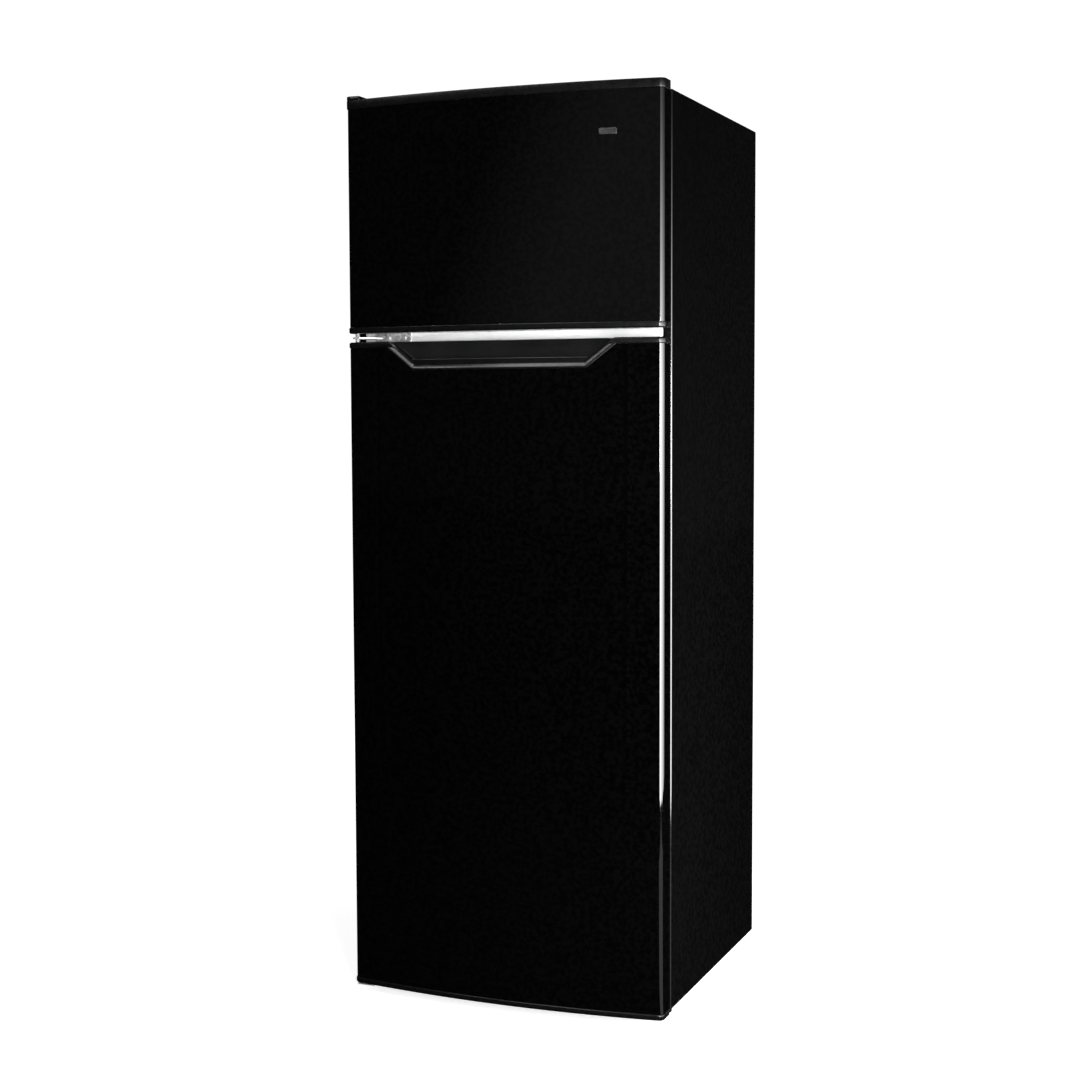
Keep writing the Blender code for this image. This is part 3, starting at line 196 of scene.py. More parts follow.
def applied(obj):
    """The object with its modifiers made part of its mesh."""
    bpy.context.view_layer.update()
    graph = bpy.context.evaluated_depsgraph_get()
    mesh = bpy.data.meshes.new_from_object(obj.evaluated_get(graph))
    obj.modifiers.clear()
    obj.data = mesh
    return obj


def combine(obj, other, operation):
    """Exact Boolean; the second object is used up."""
    modifier = obj.modifiers.new("Boolean", 'BOOLEAN')
    modifier.operation = operation
    modifier.solver = 'EXACT'
    modifier.object = other
    applied(obj)
    bpy.data.objects.remove(other, do_unlink=True)
    return obj


def cut(obj, *tools):
    """Take each tool out of an object."""
    for tool in tools:
        combine(obj, tool, 'DIFFERENCE')
    return obj


def join(obj, *others):
    """Fuse others into an object."""
    for other in others:
        combine(obj, other, 'UNION')
    return obj


def gathered(objects):
    """One object holding several separate bodies."""
    bm = bmesh.new()
    for obj in objects:
        bm.from_mesh(obj.data)
        bpy.data.objects.remove(obj, do_unlink=True)
    return from_bmesh(bm)


def rounded_rectangle(low, high, radius, steps=6):
    """Counter-clockwise outline between two corners."""
    points = []
    corners = ((high[0], high[1]), (low[0], high[1]), (low[0], low[1]), (high[0], low[1]))
    signs = ((-1, -1), (1, -1), (1, 1), (-1, 1))
    for quarter, (corner, sign) in enumerate(zip(corners, signs)):
        centre = (corner[0] + sign[0] * radius, corner[1] + sign[1] * radius)
        for step in range(steps + 1):
            angle = (quarter + step / steps) * math.pi / 2
            points.append((centre[0] + radius * math.cos(angle), centre[1] + radius * math.sin(angle)))
    return points


# ---------------- materials
def node(tree, kind, **settings):
    """New shader node with its inputs set by name."""
    made = tree.nodes.new(kind)
    for name, value in settings.items():
        if name in made.inputs:
            made.inputs[name].default_value = value
        else:
            setattr(made, name, value)
    return made


def noise(tree, vector, scale, detail=3.0, rough=0.55):
    """Noise texture of so many waves per metre."""
    made = node(tree, "ShaderNodeTexNoise", Scale=scale, Detail=detail, Roughness=rough)
    tree.links.new(vector, made.inputs["Vector"])
    return made.outputs["Fac"]


def ranged(tree, value, low, high, start=0.3, stop=0.7):
    """Map a texture to a range of values."""
    made = node(tree, "ShaderNodeMapRange")
    for name, number in (("From Min", start), ("From Max", stop), ("To Min", low), ("To Max", high)):
        made.inputs[name].default_value = number
    tree.links.new(value, made.inputs["Value"])
    return made.outputs["Result"]


def mixed(tree, factor, first, second):
    """Colour between two colours or links."""
    made = node(tree, "ShaderNodeMix", data_type='RGBA')
    tree.links.new(factor, made.inputs[0])
    for socket, value in ((made.inputs[6], first), (made.inputs[7], second)):
        if isinstance(value, bpy.types.NodeSocket):
            tree.links.new(value, socket)
        else:
            socket.default_value = (*value, 1.0)
    return made.outputs[2]


def shades(colour, spread):
    """A darker and a lighter version of a colour."""
    return tuple(c * (1 - spread) for c in colour), tuple(min(c * (1 + spread), 1.0) for c in colour)


LOOKS = {}                    # finished material of each look; the CAD's own may share its name


def surface(name, colour, roughness, metallic=0.0, spread=0.12, mottle=9.0, grain=900.0, depth=0.00002,
            rough_spread=0.05, stretch=(1, 1, 1), wear=None, wear_amount=0.5, specular=0.5, spangle=None,
            transmission=0.0, ior=1.45, smudge=26.0):
    """Add a look: Principled material with mottled colour, uneven gloss, fine relief, worn edges."""
    made = bpy.data.materials.new(name)
    made.use_nodes = True
    tree = made.node_tree
    shader = tree.nodes["Principled BSDF"]
    shader.inputs["Metallic"].default_value = metallic
    shader.inputs["Specular IOR Level"].default_value = specular
    shader.inputs["Transmission Weight"].default_value = transmission
    shader.inputs["IOR"].default_value = ior
    place = node(tree, "ShaderNodeTexCoord").outputs["Object"]
    mapping = node(tree, "ShaderNodeMapping")
    mapping.inputs["Scale"].default_value = stretch
    tree.links.new(place, mapping.inputs["Vector"])
    stretched = mapping.outputs["Vector"]
    darker, lighter = shades(colour, spread)
    tint = mixed(tree, ranged(tree, noise(tree, place, mottle), 0.0, 1.0), darker, lighter)
    if spangle:
        cells = node(tree, "ShaderNodeTexVoronoi", Scale=spangle)
        tree.links.new(place, cells.inputs["Vector"])
        separated = node(tree, "ShaderNodeSeparateColor")
        tree.links.new(cells.outputs["Color"], separated.inputs["Color"])
        tint = mixed(tree, ranged(tree, separated.outputs["Red"], 0.0, 0.5, 0.0, 1.0), tint, lighter)
    if wear:
        point = node(tree, "ShaderNodeNewGeometry").outputs["Pointiness"]
        edge = ranged(tree, point, 0.0, wear_amount, 0.53, 0.60)
        breaks = node(tree, "ShaderNodeMath", operation='MULTIPLY')
        tree.links.new(edge, breaks.inputs[0])
        tree.links.new(ranged(tree, noise(tree, place, 140.0), 0.0, 1.0, 0.42, 0.58), breaks.inputs[1])
        tint = mixed(tree, breaks.outputs[0], tint, wear)
    tree.links.new(tint, shader.inputs["Base Color"])
    gloss = ranged(tree, noise(tree, stretched, smudge, 5.0, 0.6), max(roughness - rough_spread, 0.02),
                   min(roughness + rough_spread, 1.0))
    tree.links.new(gloss, shader.inputs["Roughness"])
    bump = node(tree, "ShaderNodeBump", Strength=1.0, Distance=depth)
    tree.links.new(noise(tree, stretched, grain, 2.0, 0.5), bump.inputs["Height"])
    tree.links.new(bump.outputs["Normal"], shader.inputs["Normal"])
    LOOKS[name] = made


def grey(value):
    """Colour without a hue."""
    return (value, value, value)


surface("black_steel", grey(0.0004), 0.042, spread=0.15, mottle=2.5, grain=90.0, depth=0.000002,
        rough_spread=0.010, specular=0.90, ior=1.6, wear=grey(0.003))
surface("side_steel", grey(0.0017), 0.10, spread=0.12, mottle=3.0, grain=120.0, depth=0.000002,
        rough_spread=0.015, specular=0.80, ior=1.8, wear=grey(0.006))
surface("dark_steel", (0.0080, 0.0080, 0.0085), 0.42, spread=0.20, mottle=14.0, grain=700.0,
        depth=0.000040, rough_spread=0.08, wear=grey(0.05))
surface("dark_plastic", (0.0030, 0.0030, 0.0031), 0.22, ior=1.6, spread=0.35, mottle=110.0,
        grain=700.0, depth=0.000022, rough_spread=0.04, smudge=130.0, wear=grey(0.02))
surface("grained_plastic", (0.0016, 0.0016, 0.0017), 0.50, ior=1.6, spread=0.80, mottle=120.0,
        grain=320.0, depth=0.00030, rough_spread=0.08, specular=0.25)
surface("white_plastic", (0.50, 0.507, 0.507), 0.34, spread=0.025, mottle=7.0, grain=480.0,
        depth=0.000030, rough_spread=0.05, wear=(0.60, 0.60, 0.59), wear_amount=0.4)
surface("white_steel", (0.92, 0.925, 0.925), 0.28, spread=0.02, mottle=9.0, grain=700.0,
        depth=0.000015, rough_spread=0.04)
surface("zinc_steel", (0.66, 0.67, 0.68), 0.34, metallic=0.60, spread=0.55, mottle=160.0,
        grain=1500.0, depth=0.000015, rough_spread=0.10, spangle=300.0, wear=(0.90, 0.90, 0.91))
surface("copper", (0.62, 0.27, 0.14), 0.30, metallic=1.0, spread=0.25, mottle=45.0, grain=900.0,
        depth=0.000020, rough_spread=0.10, wear=(0.80, 0.45, 0.28))
surface("foam", (0.72, 0.62, 0.36), 0.88, spread=0.15, mottle=60.0, grain=620.0, depth=0.00045,
        rough_spread=0.06, specular=0.25)
surface("gasket_rubber", (0.016, 0.016, 0.017), 0.55, spread=0.15, mottle=18.0, grain=1300.0,
        depth=0.000040, rough_spread=0.06)
surface("black_rubber", grey(0.012), 0.70, spread=0.25, mottle=35.0, grain=900.0, depth=0.00010,
        rough_spread=0.08)
surface("glass", (0.86, 0.94, 0.92), 0.05, spread=0.01, mottle=5.0, grain=60.0, depth=0.000004,
        rough_spread=0.03, transmission=1.0, ior=1.50)
surface("clear_plastic", (0.88, 0.92, 0.93), 0.12, spread=0.02, mottle=8.0, grain=380.0,
        depth=0.000012, rough_spread=0.05, transmission=0.95, ior=1.49)
surface("aluminium", (0.62, 0.63, 0.64), 0.38, metallic=1.0, spread=0.10, mottle=30.0,
        grain=1200.0, depth=0.000020, rough_spread=0.10, stretch=(1, 1, 12))
surface("brushed_badge", (0.10, 0.10, 0.105), 0.42, metallic=1.0, spread=0.10, mottle=40.0,
        grain=1500.0, depth=0.000015, rough_spread=0.10, stretch=(1, 1, 24),
        wear=(0.65, 0.65, 0.66))
surface("dial_ink", (0.05, 0.07, 0.10), 0.45, spread=0.15, mottle=60.0, grain=1500.0,
        depth=0.000010, rough_spread=0.05)


def piece(obj, name, look, body, *nodes, angle=35):
    """Name a new piece, give it its look and body, and hide the CAD nodes it stands for."""
    obj.name = name
    obj.data.name = name
    obj.data.materials.clear()
    obj.data.materials.append(LOOKS[look])
    obj.data.shade_smooth()
    obj.data.set_sharp_from_angle(angle=math.radians(angle))
    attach(obj, body)
    if nodes:
        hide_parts(*nodes)
    return obj


REFINED_EDGE = math.radians(30)   # sharper edges than this get rounded


def refined(node_name, look, body, width, segments=2):
    """Piece with the CAD node's own shape and rounded edges."""
    bm = bmesh.new()
    bm.from_mesh(frame["nodes"][node_name].data)
    bmesh.ops.remove_doubles(bm, verts=bm.verts, dist=0.000002)
    bmesh.ops.dissolve_limit(bm, angle_limit=0.01, verts=bm.verts, edges=bm.edges)
    sharp = [e for e in bm.edges if len(e.link_faces) == 2 and e.calc_face_angle(0.0) > REFINED_EDGE]
    bmesh.ops.bevel(bm, geom=sharp, offset=width, segments=segments, profile=0.5, affect='EDGES',
                    clamp_overlap=True)
    return piece(from_bmesh(bm), node_name + "_fine", look, body, node_name)


def keep(node_name, look):
    """Give a CAD node that stays in view its finished material."""
    obj = frame["nodes"][node_name]
    obj.data.materials.clear()
    obj.data.materials.append(LOOKS[look])


# ---------------- doors
def crown_y(x, shift=0.0):
    """Front line of a door skin across its width."""
    return SKIN_LOW.y + CROWN * (x / HALF) ** 2 + shift


def door_outline(half, shift, radius, back, across=90, around=14):
    """Plan outline of a door: straight sides, rounded corners, crowned front."""
    tangent = -half + radius
    for _ in range(12):
        slope = 2 * CROWN * tangent / HALF ** 2
        normal_x = -slope / math.hypot(1, slope)
        tangent = -half + radius * (1 - normal_x)
    normal_y = 1 / math.hypot(1, slope)
    centre = (tangent + radius * normal_x, crown_y(tangent, shift) + radius * normal_y)
    last = math.atan2(-normal_y, -normal_x) + 2 * math.pi
    corner = []
    for step in range(around + 1):
        angle = math.pi + (last - math.pi) * step / around
        corner.append((centre[0] + radius * math.cos(angle), centre[1] + radius * math.sin(angle)))
    front = []
    for step in range(1, across):
        x = tangent * (1 - 2 * step / across)
        front.append((x, crown_y(x, shift)))
    mirrored = [(-x, y) for x, y in reversed(corner)]
    return [(-half, back)] + corner + front + mirrored + [(half, back)]


RETURN = 0.0120               # folded strip behind each side of a door


def door_skin(node_name, body, opening=None):
    """Crowned sheet with folded sides, as fine as its reflections need."""
    low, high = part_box(node_name)
    outer = door_outline(SKIN_HALF, 0.0, CORNER, DOOR_BACK)
    inner = door_outline(SKIN_HALF - STEEL, STEEL, CORNER - STEEL, DOOR_BACK - STEEL)
    fold = SKIN_HALF - RETURN
    outline = outer + [(fold, DOOR_BACK), (fold, DOOR_BACK - STEEL)] + inner[::-1]
    outline += [(-fold, DOOR_BACK - STEEL), (-fold, DOOR_BACK)]
    rings = [[(x, y, z) for x, y in outline] for z in (low.z, high.z)]
    sheet = skin(rings)
    if opening:
        cut(sheet, opening)
    piece(sheet, node_name.replace("_skin", "_panel"), "black_steel", body, node_name)


PIN_X, PIN_Y = -0.2550, -0.2470   # line that both doors turn about
PIN_HOLE = 0.0038             # radius of the holes for the hinge pins


def pin_hole(z):
    """Cutter for a hinge pin."""
    return turned([(PIN_HOLE, -0.03), (PIN_HOLE, 0.03)], (PIN_X, PIN_Y, z), steps=24)


def door_cap(node_name, body, lower, upper, pin_z):
    """Moulded end cap, rounded along both edges."""
    low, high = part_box(node_name)
    cap = prism(door_outline(HALF, -PROUD, CAP_CORNER, DOOR_BACK), low.z, high.z, 'Z', lower, upper)
    piece(cut(cap, pin_hole(pin_z)), node_name + "_moulding", "dark_plastic", body, node_name)


GRIP_DEPTH = DOOR_TOP - CAP_LOW.z
GRIP_TOP_HALF = 0.2067        # half widths of the grip's trapezoid
GRIP_BOTTOM_HALF = 0.1470
GRIP_RIM = 0.0095             # width of the band round it
LIP_DROP = 0.0280             # from the door's top to the lip
LIP_BACK = CAP_LOW.y + 0.0155
CUP_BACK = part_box("fridge_door_grip_cup")[1].y
GRIP_STEP = 0.0040            # how far the lip lies behind the rim
SLOPE = (GRIP_TOP_HALF - GRIP_BOTTOM_HALF) / GRIP_DEPTH


def grip_half(depth, inset):
    """Half width of the grip at a depth below the door's top, narrowed by inset."""
    return GRIP_BOTTOM_HALF + SLOPE * (GRIP_DEPTH - depth) - inset * math.hypot(1, SLOPE)


def trapezoid(depth, inset, over=0.0):
    """Outline of the grip in front view, counter-clockwise as (x, z)."""
    return [(-grip_half(depth, inset), DOOR_TOP - depth), (grip_half(depth, inset), DOOR_TOP - depth),
            (grip_half(-over, inset), DOOR_TOP + over), (-grip_half(-over, inset), DOOR_TOP + over)]


def flat(points, low, high):
    """Outline (x, z) extruded along Y with sharp edges."""
    return skin([[(x, low, z) for x, z in points], [(x, high, z) for x, z in points]])


def filleted(points, radii, steps=8):
    """Open line of points with its corners rounded, and its runs divided finely."""
    line = [Vector(points[0])]
    for before, here, after, radius in zip(points, points[1:], points[2:], radii):
        before, here, after = Vector(before), Vector(here), Vector(after)
        first, second = (before - here).normalized(), (after - here).normalized()
        half_angle = first.angle(second) / 2
        reach = radius / math.tan(half_angle)
        start, end = here + first * reach, here + second * reach
        centre = here + (first + second).normalized() * radius / math.sin(half_angle)
        for step in range(steps + 1):
            between = (start - centre).lerp(end - centre, step / steps).normalized() * radius
            line.append(centre + between)
    line.append(Vector(points[-1]))
    fine = [line[0]]
    for first, second in zip(line, line[1:]):
        count = max(1, int((second - first).length / 0.006))
        fine += [first.lerp(second, step / count) for step in range(1, count + 1)]
    return fine


def grip_path():
    """Middle line of the rim, from one side of the grip to the other."""
    strip = DOOR_TOP - CAP / 2
    floor = GRIP_DEPTH - GRIP_RIM / 2
    top_x = grip_half(CAP / 2, GRIP_RIM / 2)
    low_x = grip_half(floor, GRIP_RIM / 2)
    return filleted([(-top_x - 0.0180, strip), (-top_x, strip), (-low_x, DOOR_TOP - floor),
                     (low_x, DOOR_TOP - floor), (top_x, strip), (top_x + 0.0180, strip)],
                    (0.0090, 0.0120, 0.0120, 0.0090))


def beside(path, distance):
    """Line that runs beside another one at a distance."""
    moved = []
    for index, here in enumerate(path):
        along = heading(path, index)
        moved.append(here + Vector((-along.y, along.x)) * distance)
    return moved


def grip_window():
    """Cutter for the skin along the outer edge of the rim."""
    edge = beside(grip_path(), -GRIP_RIM / 2 - GAP)
    outline = [tuple(point) for point in edge]
    outline += [(outline[-1][0], DOOR_TOP + 0.02), (outline[0][0], DOOR_TOP + 0.02)]
    return flat(outline, CAP_LOW.y - 0.02, CAP_LOW.y + 0.0350)


def grip_rim():
    """Band that follows the grip's outline on the door's crowned front."""
    path = grip_path()
    half, edge, depth = GRIP_RIM / 2 - 0.0001, 0.0018, LIP_BACK - CAP_LOW.y - PROUD
    section = [(-half, depth)] + [(-half + edge * b, edge * a) for a, b in quarter()]
    for step in range(1, 9):
        across = step / 8
        section.append((-half + edge + (2 * half - edge - 0.0006) * across, 0.0026 * across ** 1.35))
    section += [(half, 0.0033), (half, depth)]
    rings = []
    for index, here in enumerate(path):
        along = heading(path, index)
        across = Vector((-along.y, along.x))
        ring = []
        for u, d in section:
            x, z = here + across * u
            ring.append((x, crown_y(x, -PROUD) + 0.00005 + d, z))
        rings.append(ring)
    return skin(rings)


def grip_lip():
    """Upright lip behind the rim, which the fingers pull on."""
    low, high = DOOR_TOP - GRIP_DEPTH + 0.0060, DOOR_TOP - LIP_DROP
    reach = grip_half(GRIP_DEPTH - GRIP_RIM, GRIP_RIM) + 0.0040
    edge = 0.0016
    rings = []
    for step in range(61):
        x = reach * (step / 30 - 1)
        front = crown_y(x, GRIP_STEP - PROUD)
        ring = [(x, LIP_BACK, low), (x, front, low)]
        ring += [(x, front + edge * b, high - edge * a) for a, b in quarter()]
        ring += [(x, LIP_BACK - edge * a, high - edge * b) for a, b in quarter()]
        rings.append(ring)
    return skin(rings)


def grip_cap():
    """Top cap of the fridge door, whose edge dips round the grip."""
    outline = door_outline(HALF, -PROUD, CAP_CORNER, DOOR_BACK)
    cap = prism(outline, DOOR_TOP - CAP, DOOR_TOP, 'Z', 0.0016, 0.0030)
    mouth = flat(trapezoid(LIP_DROP, GRIP_RIM, 0.02), CAP_LOW.y - 0.02, CUP_BACK + GAP)
    behind = flat(trapezoid(LIP_DROP, GRIP_RIM * 0.4, 0.02), LIP_BACK, CUP_BACK + GAP)
    cut(cap, mouth, behind, pin_hole(DOOR_TOP))
    join(cap, grip_rim(), grip_lip())
    piece(cap, "fridge_door_grip_cap", "dark_plastic", "fridge_door", "fridge_door_top_cap")


def grip_cup():
    """Grained pocket behind the lip, with rounded inner corners."""
    wall = 0.0015
    inset = GRIP_RIM * 0.4 + GAP
    outer = trapezoid(GRIP_DEPTH - GAP, inset)
    cup = flat(outer, LIP_BACK + GAP, CUP_BACK)
    inner = trapezoid(GRIP_DEPTH - GAP - wall, inset + wall, 0.02)
    hollow = prism(inner, LIP_BACK - 0.01, CUP_BACK - wall, 'Y', 0.0, 0.0050, 6)
    piece(cut(cup, hollow), "fridge_door_grip_pocket", "grained_plastic", "fridge_door",
          "fridge_door_grip_cup")


# section of a door seal, as parts of its width and depth
GASKET_PROFILE = [(0.0, 0.0), (1.0, 0.0), (1.0, 0.14), (0.80, 0.20), (0.62, 0.26), (0.86, 0.36), (0.62, 0.46),
                  (0.84, 0.52), (0.96, 0.56), (1.0, 0.64), (1.0, 0.92), (0.96, 1.0), (0.04, 1.0), (0.0, 0.92),
                  (0.0, 0.64), (0.04, 0.56), (0.16, 0.52), (0.38, 0.46), (0.14, 0.36), (0.38, 0.26),
                  (0.20, 0.20), (0.0, 0.14)]


def gasket(node_name, body):
    """Bellows seal with its magnet strip, mitred at the corners."""
    low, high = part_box(node_name)
    width = 0.0120
    bm = bmesh.new()
    loops = []
    for across, along in GASKET_PROFILE:
        inset = across * width
        y = low.y + along * (high.y - low.y)
        corners = ((low.x + inset, low.z + inset), (high.x - inset, low.z + inset),
                   (high.x - inset, high.z - inset), (low.x + inset, high.z - inset))
        loops.append([bm.verts.new((x, y, z)) for x, z in corners])
    for first, second in zip(loops, loops[1:] + loops[:1]):
        for index in range(4):
            after = (index + 1) % 4
            bm.faces.new((first[index], first[after], second[after], second[index]))
    piece(from_bmesh(bm), node_name.replace("_gasket", "_seal"), "gasket_rubber", body, node_name, angle=28)


def tray(node_name, name, look, body, wall=0.0020, corner=0.0080, floor_round=0.0070, bead=0.0010):
    """Open moulded tray with a rounded floor edge and a thicker rim."""
    low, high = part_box(node_name)
    outline = rounded_rectangle((low.x, low.y), (high.x, high.y), corner)
    profile = [(bead + floor_round * a, low.z + floor_round * b) for a, b in quarter()]
    rim_low = high.z - 0.0045
    profile += [(bead, rim_low - 0.001), (0.0, rim_low), (0.0, high.z - 0.0007), (0.0007, high.z)]
    inside = bead + wall
    profile += [(inside - 0.0005, high.z), (inside, high.z - 0.0005)]
    inner = floor_round - wall
    profile += [(inside + inner * b, low.z + wall + inner * a) for a, b in quarter()]
    rings = [[(x, y, z) for x, y in grow(outline, -inset)] for inset, z in profile]
    return piece(skin(rings), name, look, body, node_name)


def nameplate():
    """Small brushed badge with a raised border and nothing on it."""
    low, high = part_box("nameplate")
    middle = (low + high) / 2
    lean = math.atan(2 * CROWN * middle.x / HALF ** 2)
    half, height, thick = 0.0139, (high.z - low.z) / 2, 0.0011
    outline = rounded_rectangle((-half, -height), (half, height), 0.0022)
    plate = prism(outline, -thick / 2, thick / 2, 'Y', 0.0003, 0.0001)
    field = rounded_rectangle((-half + 0.0012, -height + 0.0012), (half - 0.0012, height - 0.0012), 0.0014)
    cut(plate, prism(field, -thick, -thick / 2 + 0.0003, 'Y', 0.0, 0.0002))
    plate.data.transform(Matrix.Translation(middle) @ Matrix.Rotation(lean, 4, 'Z'))
    piece(plate, "badge", "brushed_badge", "freezer_door", "nameplate")


def doors():
    """Everything that swings on the hinge pins."""
    door_skin("freezer_door_skin", "freezer_door")
    door_skin("fridge_door_skin", "fridge_door", grip_window())
    freezer_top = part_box("freezer_door_top_cap")[1].z
    freezer_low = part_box("freezer_door_bottom_cap")[0].z
    fridge_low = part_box("fridge_door_bottom_cap")[0].z
    door_cap("freezer_door_top_cap", "freezer_door", 0.0018, 0.0007, freezer_top)
    door_cap("freezer_door_bottom_cap", "freezer_door", 0.0030, 0.0008, freezer_low)
    door_cap("fridge_door_bottom_cap", "fridge_door", 0.0034, 0.0018, fridge_low)
    grip_cap()
    grip_cup()
    for name in ("freezer_door", "fridge_door"):
        gasket(name + "_gasket", name)
        keep(name + "_liner", "white_plastic")
        keep(name + "_foam", "foam")
    tray("freezer_door_bin_lower", "freezer_bin_lower", "clear_plastic", "freezer_door")
    tray("freezer_door_bin_upper", "freezer_bin_upper", "clear_plastic", "freezer_door")
    for level in ("lower", "middle", "upper"):
        tray("fridge_door_bin_" + level, "fridge_bin_" + level, "clear_plastic", "fridge_door")
    nameplate()


# ---------------- cabinet
def wrapper():
    """Painted sheet that forms both sides and the top, folded in at the front."""
    def rounded(a, b):
        along_top = a.z > 1.0 and b.z > 1.0 and abs(a.x - b.x) < 1e-6
        front = a.y < 0 and b.y < 0 and not (a.z < 1.0 and b.z < 1.0)
        return along_top or front
    shell = edged_box(SHELL_LOW, SHELL_HIGH, 0.0019, 8, rounded)
    inner_low = (SHELL_LOW.x + STEEL, CAB_FRONT + STEEL, SHELL_LOW.z - 0.05)
    inner_high = (HALF - STEEL, CAB_BACK + 0.05, SHELL_HIGH.z - STEEL)
    hollow = edged_box(inner_low, inner_high, 0.0012, 6, rounded)
    window = cutter((-HALF + FLANGE, CAB_FRONT - 0.01, -0.1),
                    (HALF - FLANGE, CAB_FRONT + 0.01, SHELL_HIGH.z - FLANGE))
    screw_low, screw_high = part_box("top_hinge_screw")
    middle = (screw_low + screw_high) / 2
    hole_radius = 0.0026
    hole = turned([(hole_radius, -0.01), (hole_radius, 0.01)], (middle.x, middle.y, SHELL_HIGH.z), steps=20)
    piece(cut(shell, hollow, window, hole), "cabinet_wrapper", "side_steel", "cabinet", "cabinet_shell")


def pressed_back():
    """Rear sheet with pressed stiffening beads."""
    low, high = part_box("back_panel")
    bead_half, bead_deep = 0.009, 0.0012
    beads = [0.30 + 0.12 * index for index in range(9)]
    columns = [low.x] + [low.x + 0.030 + (high.x - low.x - 0.060) * i / 40 for i in range(41)] + [high.x]
    rows = sorted({low.z, high.z} | {bead + bead_half * part / 5 for bead in beads
                                     for part in range(-6, 7)})

    def pressed(x, z):
        across = min(1.0, max(0.0, (high.x - 0.040 - abs(x)) / 0.012))
        nearest = min(abs(z - bead) for bead in beads)
        return bead_deep * across * max(0.0, 1 - (nearest / bead_half) ** 2) ** 1.5
    bm = bmesh.new()
    layers = []
    for y in (high.y, low.y):
        layers.append([[bm.verts.new((x, y - pressed(x, z), z)) for x in columns] for z in rows])
    for layer in layers:
        for first, second in zip(layer, layer[1:]):
            for i in range(len(columns) - 1):
                bm.faces.new((first[i], first[i + 1], second[i + 1], second[i]))
    outside, inside = layers
    for i in range(len(columns) - 1):
        for row in (0, -1):
            bm.faces.new((outside[row][i], outside[row][i + 1], inside[row][i + 1], inside[row][i]))
    for j in range(len(rows) - 1):
        for column in (0, -1):
            bm.faces.new((outside[j][column], outside[j + 1][column],
                          inside[j + 1][column], inside[j][column]))
    piece(from_bmesh(bm), "pressed_back_panel", "dark_steel", "cabinet", "back_panel")


def pan_screw(centre, axis='Y', radius=0.0038, height=0.0020, sign=1):
    """Pan-head screw seen from outside, with a cross recess."""
    profile = [(0.0001, 0.0), (radius, 0.0), (radius, height * 0.45), (radius * 0.85, height * 0.8),
               (radius * 0.5, height * 0.97), (0.0001, height)]
    head = turned([(r, sign * h) for r, h in profile], centre, axis, 24)
    point = Vector(centre)
    deep = Vector(placed(0, 0, 1, axis)) * sign
    for turn in (0, 1):
        reach, slot = radius * 0.62, radius * 0.13
        sizes = (reach, slot) if turn else (slot, reach)
        side = Vector(placed(*sizes, height * 0.6, axis))
        middle = point + deep * height
        cut(head, cutter(middle - side, middle + side))
    return head


def back_screws():
    """Screws that hold the rear sheet to the wrapper."""
    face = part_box("back_panel")[1].y + 0.0001
    places = [(x, z) for z in (0.262, 0.600, 0.940, 1.270, 1.420) for x in (-0.2555, 0.2555)]
    places += [(x, 1.4260) for x in (-0.130, 0.0, 0.130)]
    heads = [pan_screw((x, face, z)) for x, z in places]
    piece(gathered(heads), "back_panel_screws", "zinc_steel", "cabinet")


CLIP = 0.0100                 # side of the clips at the condenser's corners
DROP_X = 0.0330               # where the condenser's tube runs down to the drier


def condenser():
    """Serpentine tube with wires welded across it."""
    low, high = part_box("condenser_grid")
    wire = 0.0008
    y = high.y - wire
    wires = []
    count = 40
    for index in range(count + 1):
        x = low.x + 0.0020 + (high.x - low.x - 0.0040) * index / count
        wires.append(tube([(x, y, low.z), (x, y, high.z)], wire, 8))
    for x in (low.x, high.x - CLIP):
        for z in (low.z, high.z - CLIP):
            wires.append(edged_box((x, CAB_BACK + GAP, z), (x + CLIP, high.y, z + CLIP), 0.0010, 2))
    piece(gathered(wires), "condenser_wires", "dark_steel", "cabinet", "condenser_grid")
    radius = 0.0024
    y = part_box("condenser_coil")[1].y - radius
    top, bottom, half = 1.2800, 0.3200, 0.2050
    passes = 13
    pitch = (top - bottom) / (passes - 1)
    bend = pitch / 2
    points = [(0.1500, y, top), (-half + bend, y, top)]
    side = -1
    for index in range(1, passes):
        middle = top - (index - 0.5) * pitch
        centre = side * (half - bend)
        for step in range(1, 17):
            angle = math.pi / 2 - step * math.pi / 16
            points.append((centre + side * bend * math.cos(angle), y, middle + bend * math.sin(angle)))
        side = -side
        if index < passes - 1:
            points.append((side * (half - bend), y, top - index * pitch))
    last_bend, end_x = 0.0170, 0.0500
    points.append((end_x, y, bottom))
    for step in range(1, 9):
        angle = math.pi / 2 * step / 8
        points.append((end_x - last_bend * math.sin(angle), y, bottom - last_bend * (1 - math.cos(angle))))
    points += [(DROP_X, y, 0.1300), (DROP_X, y - 0.0020, 0.1220), (DROP_X, y - 0.0080, 0.1160),
               (DROP_X, y - 0.0180, 0.1130)]
    piece(tube(points, radius, 12), "condenser_serpentine", "dark_steel", "cabinet", "condenser_coil")


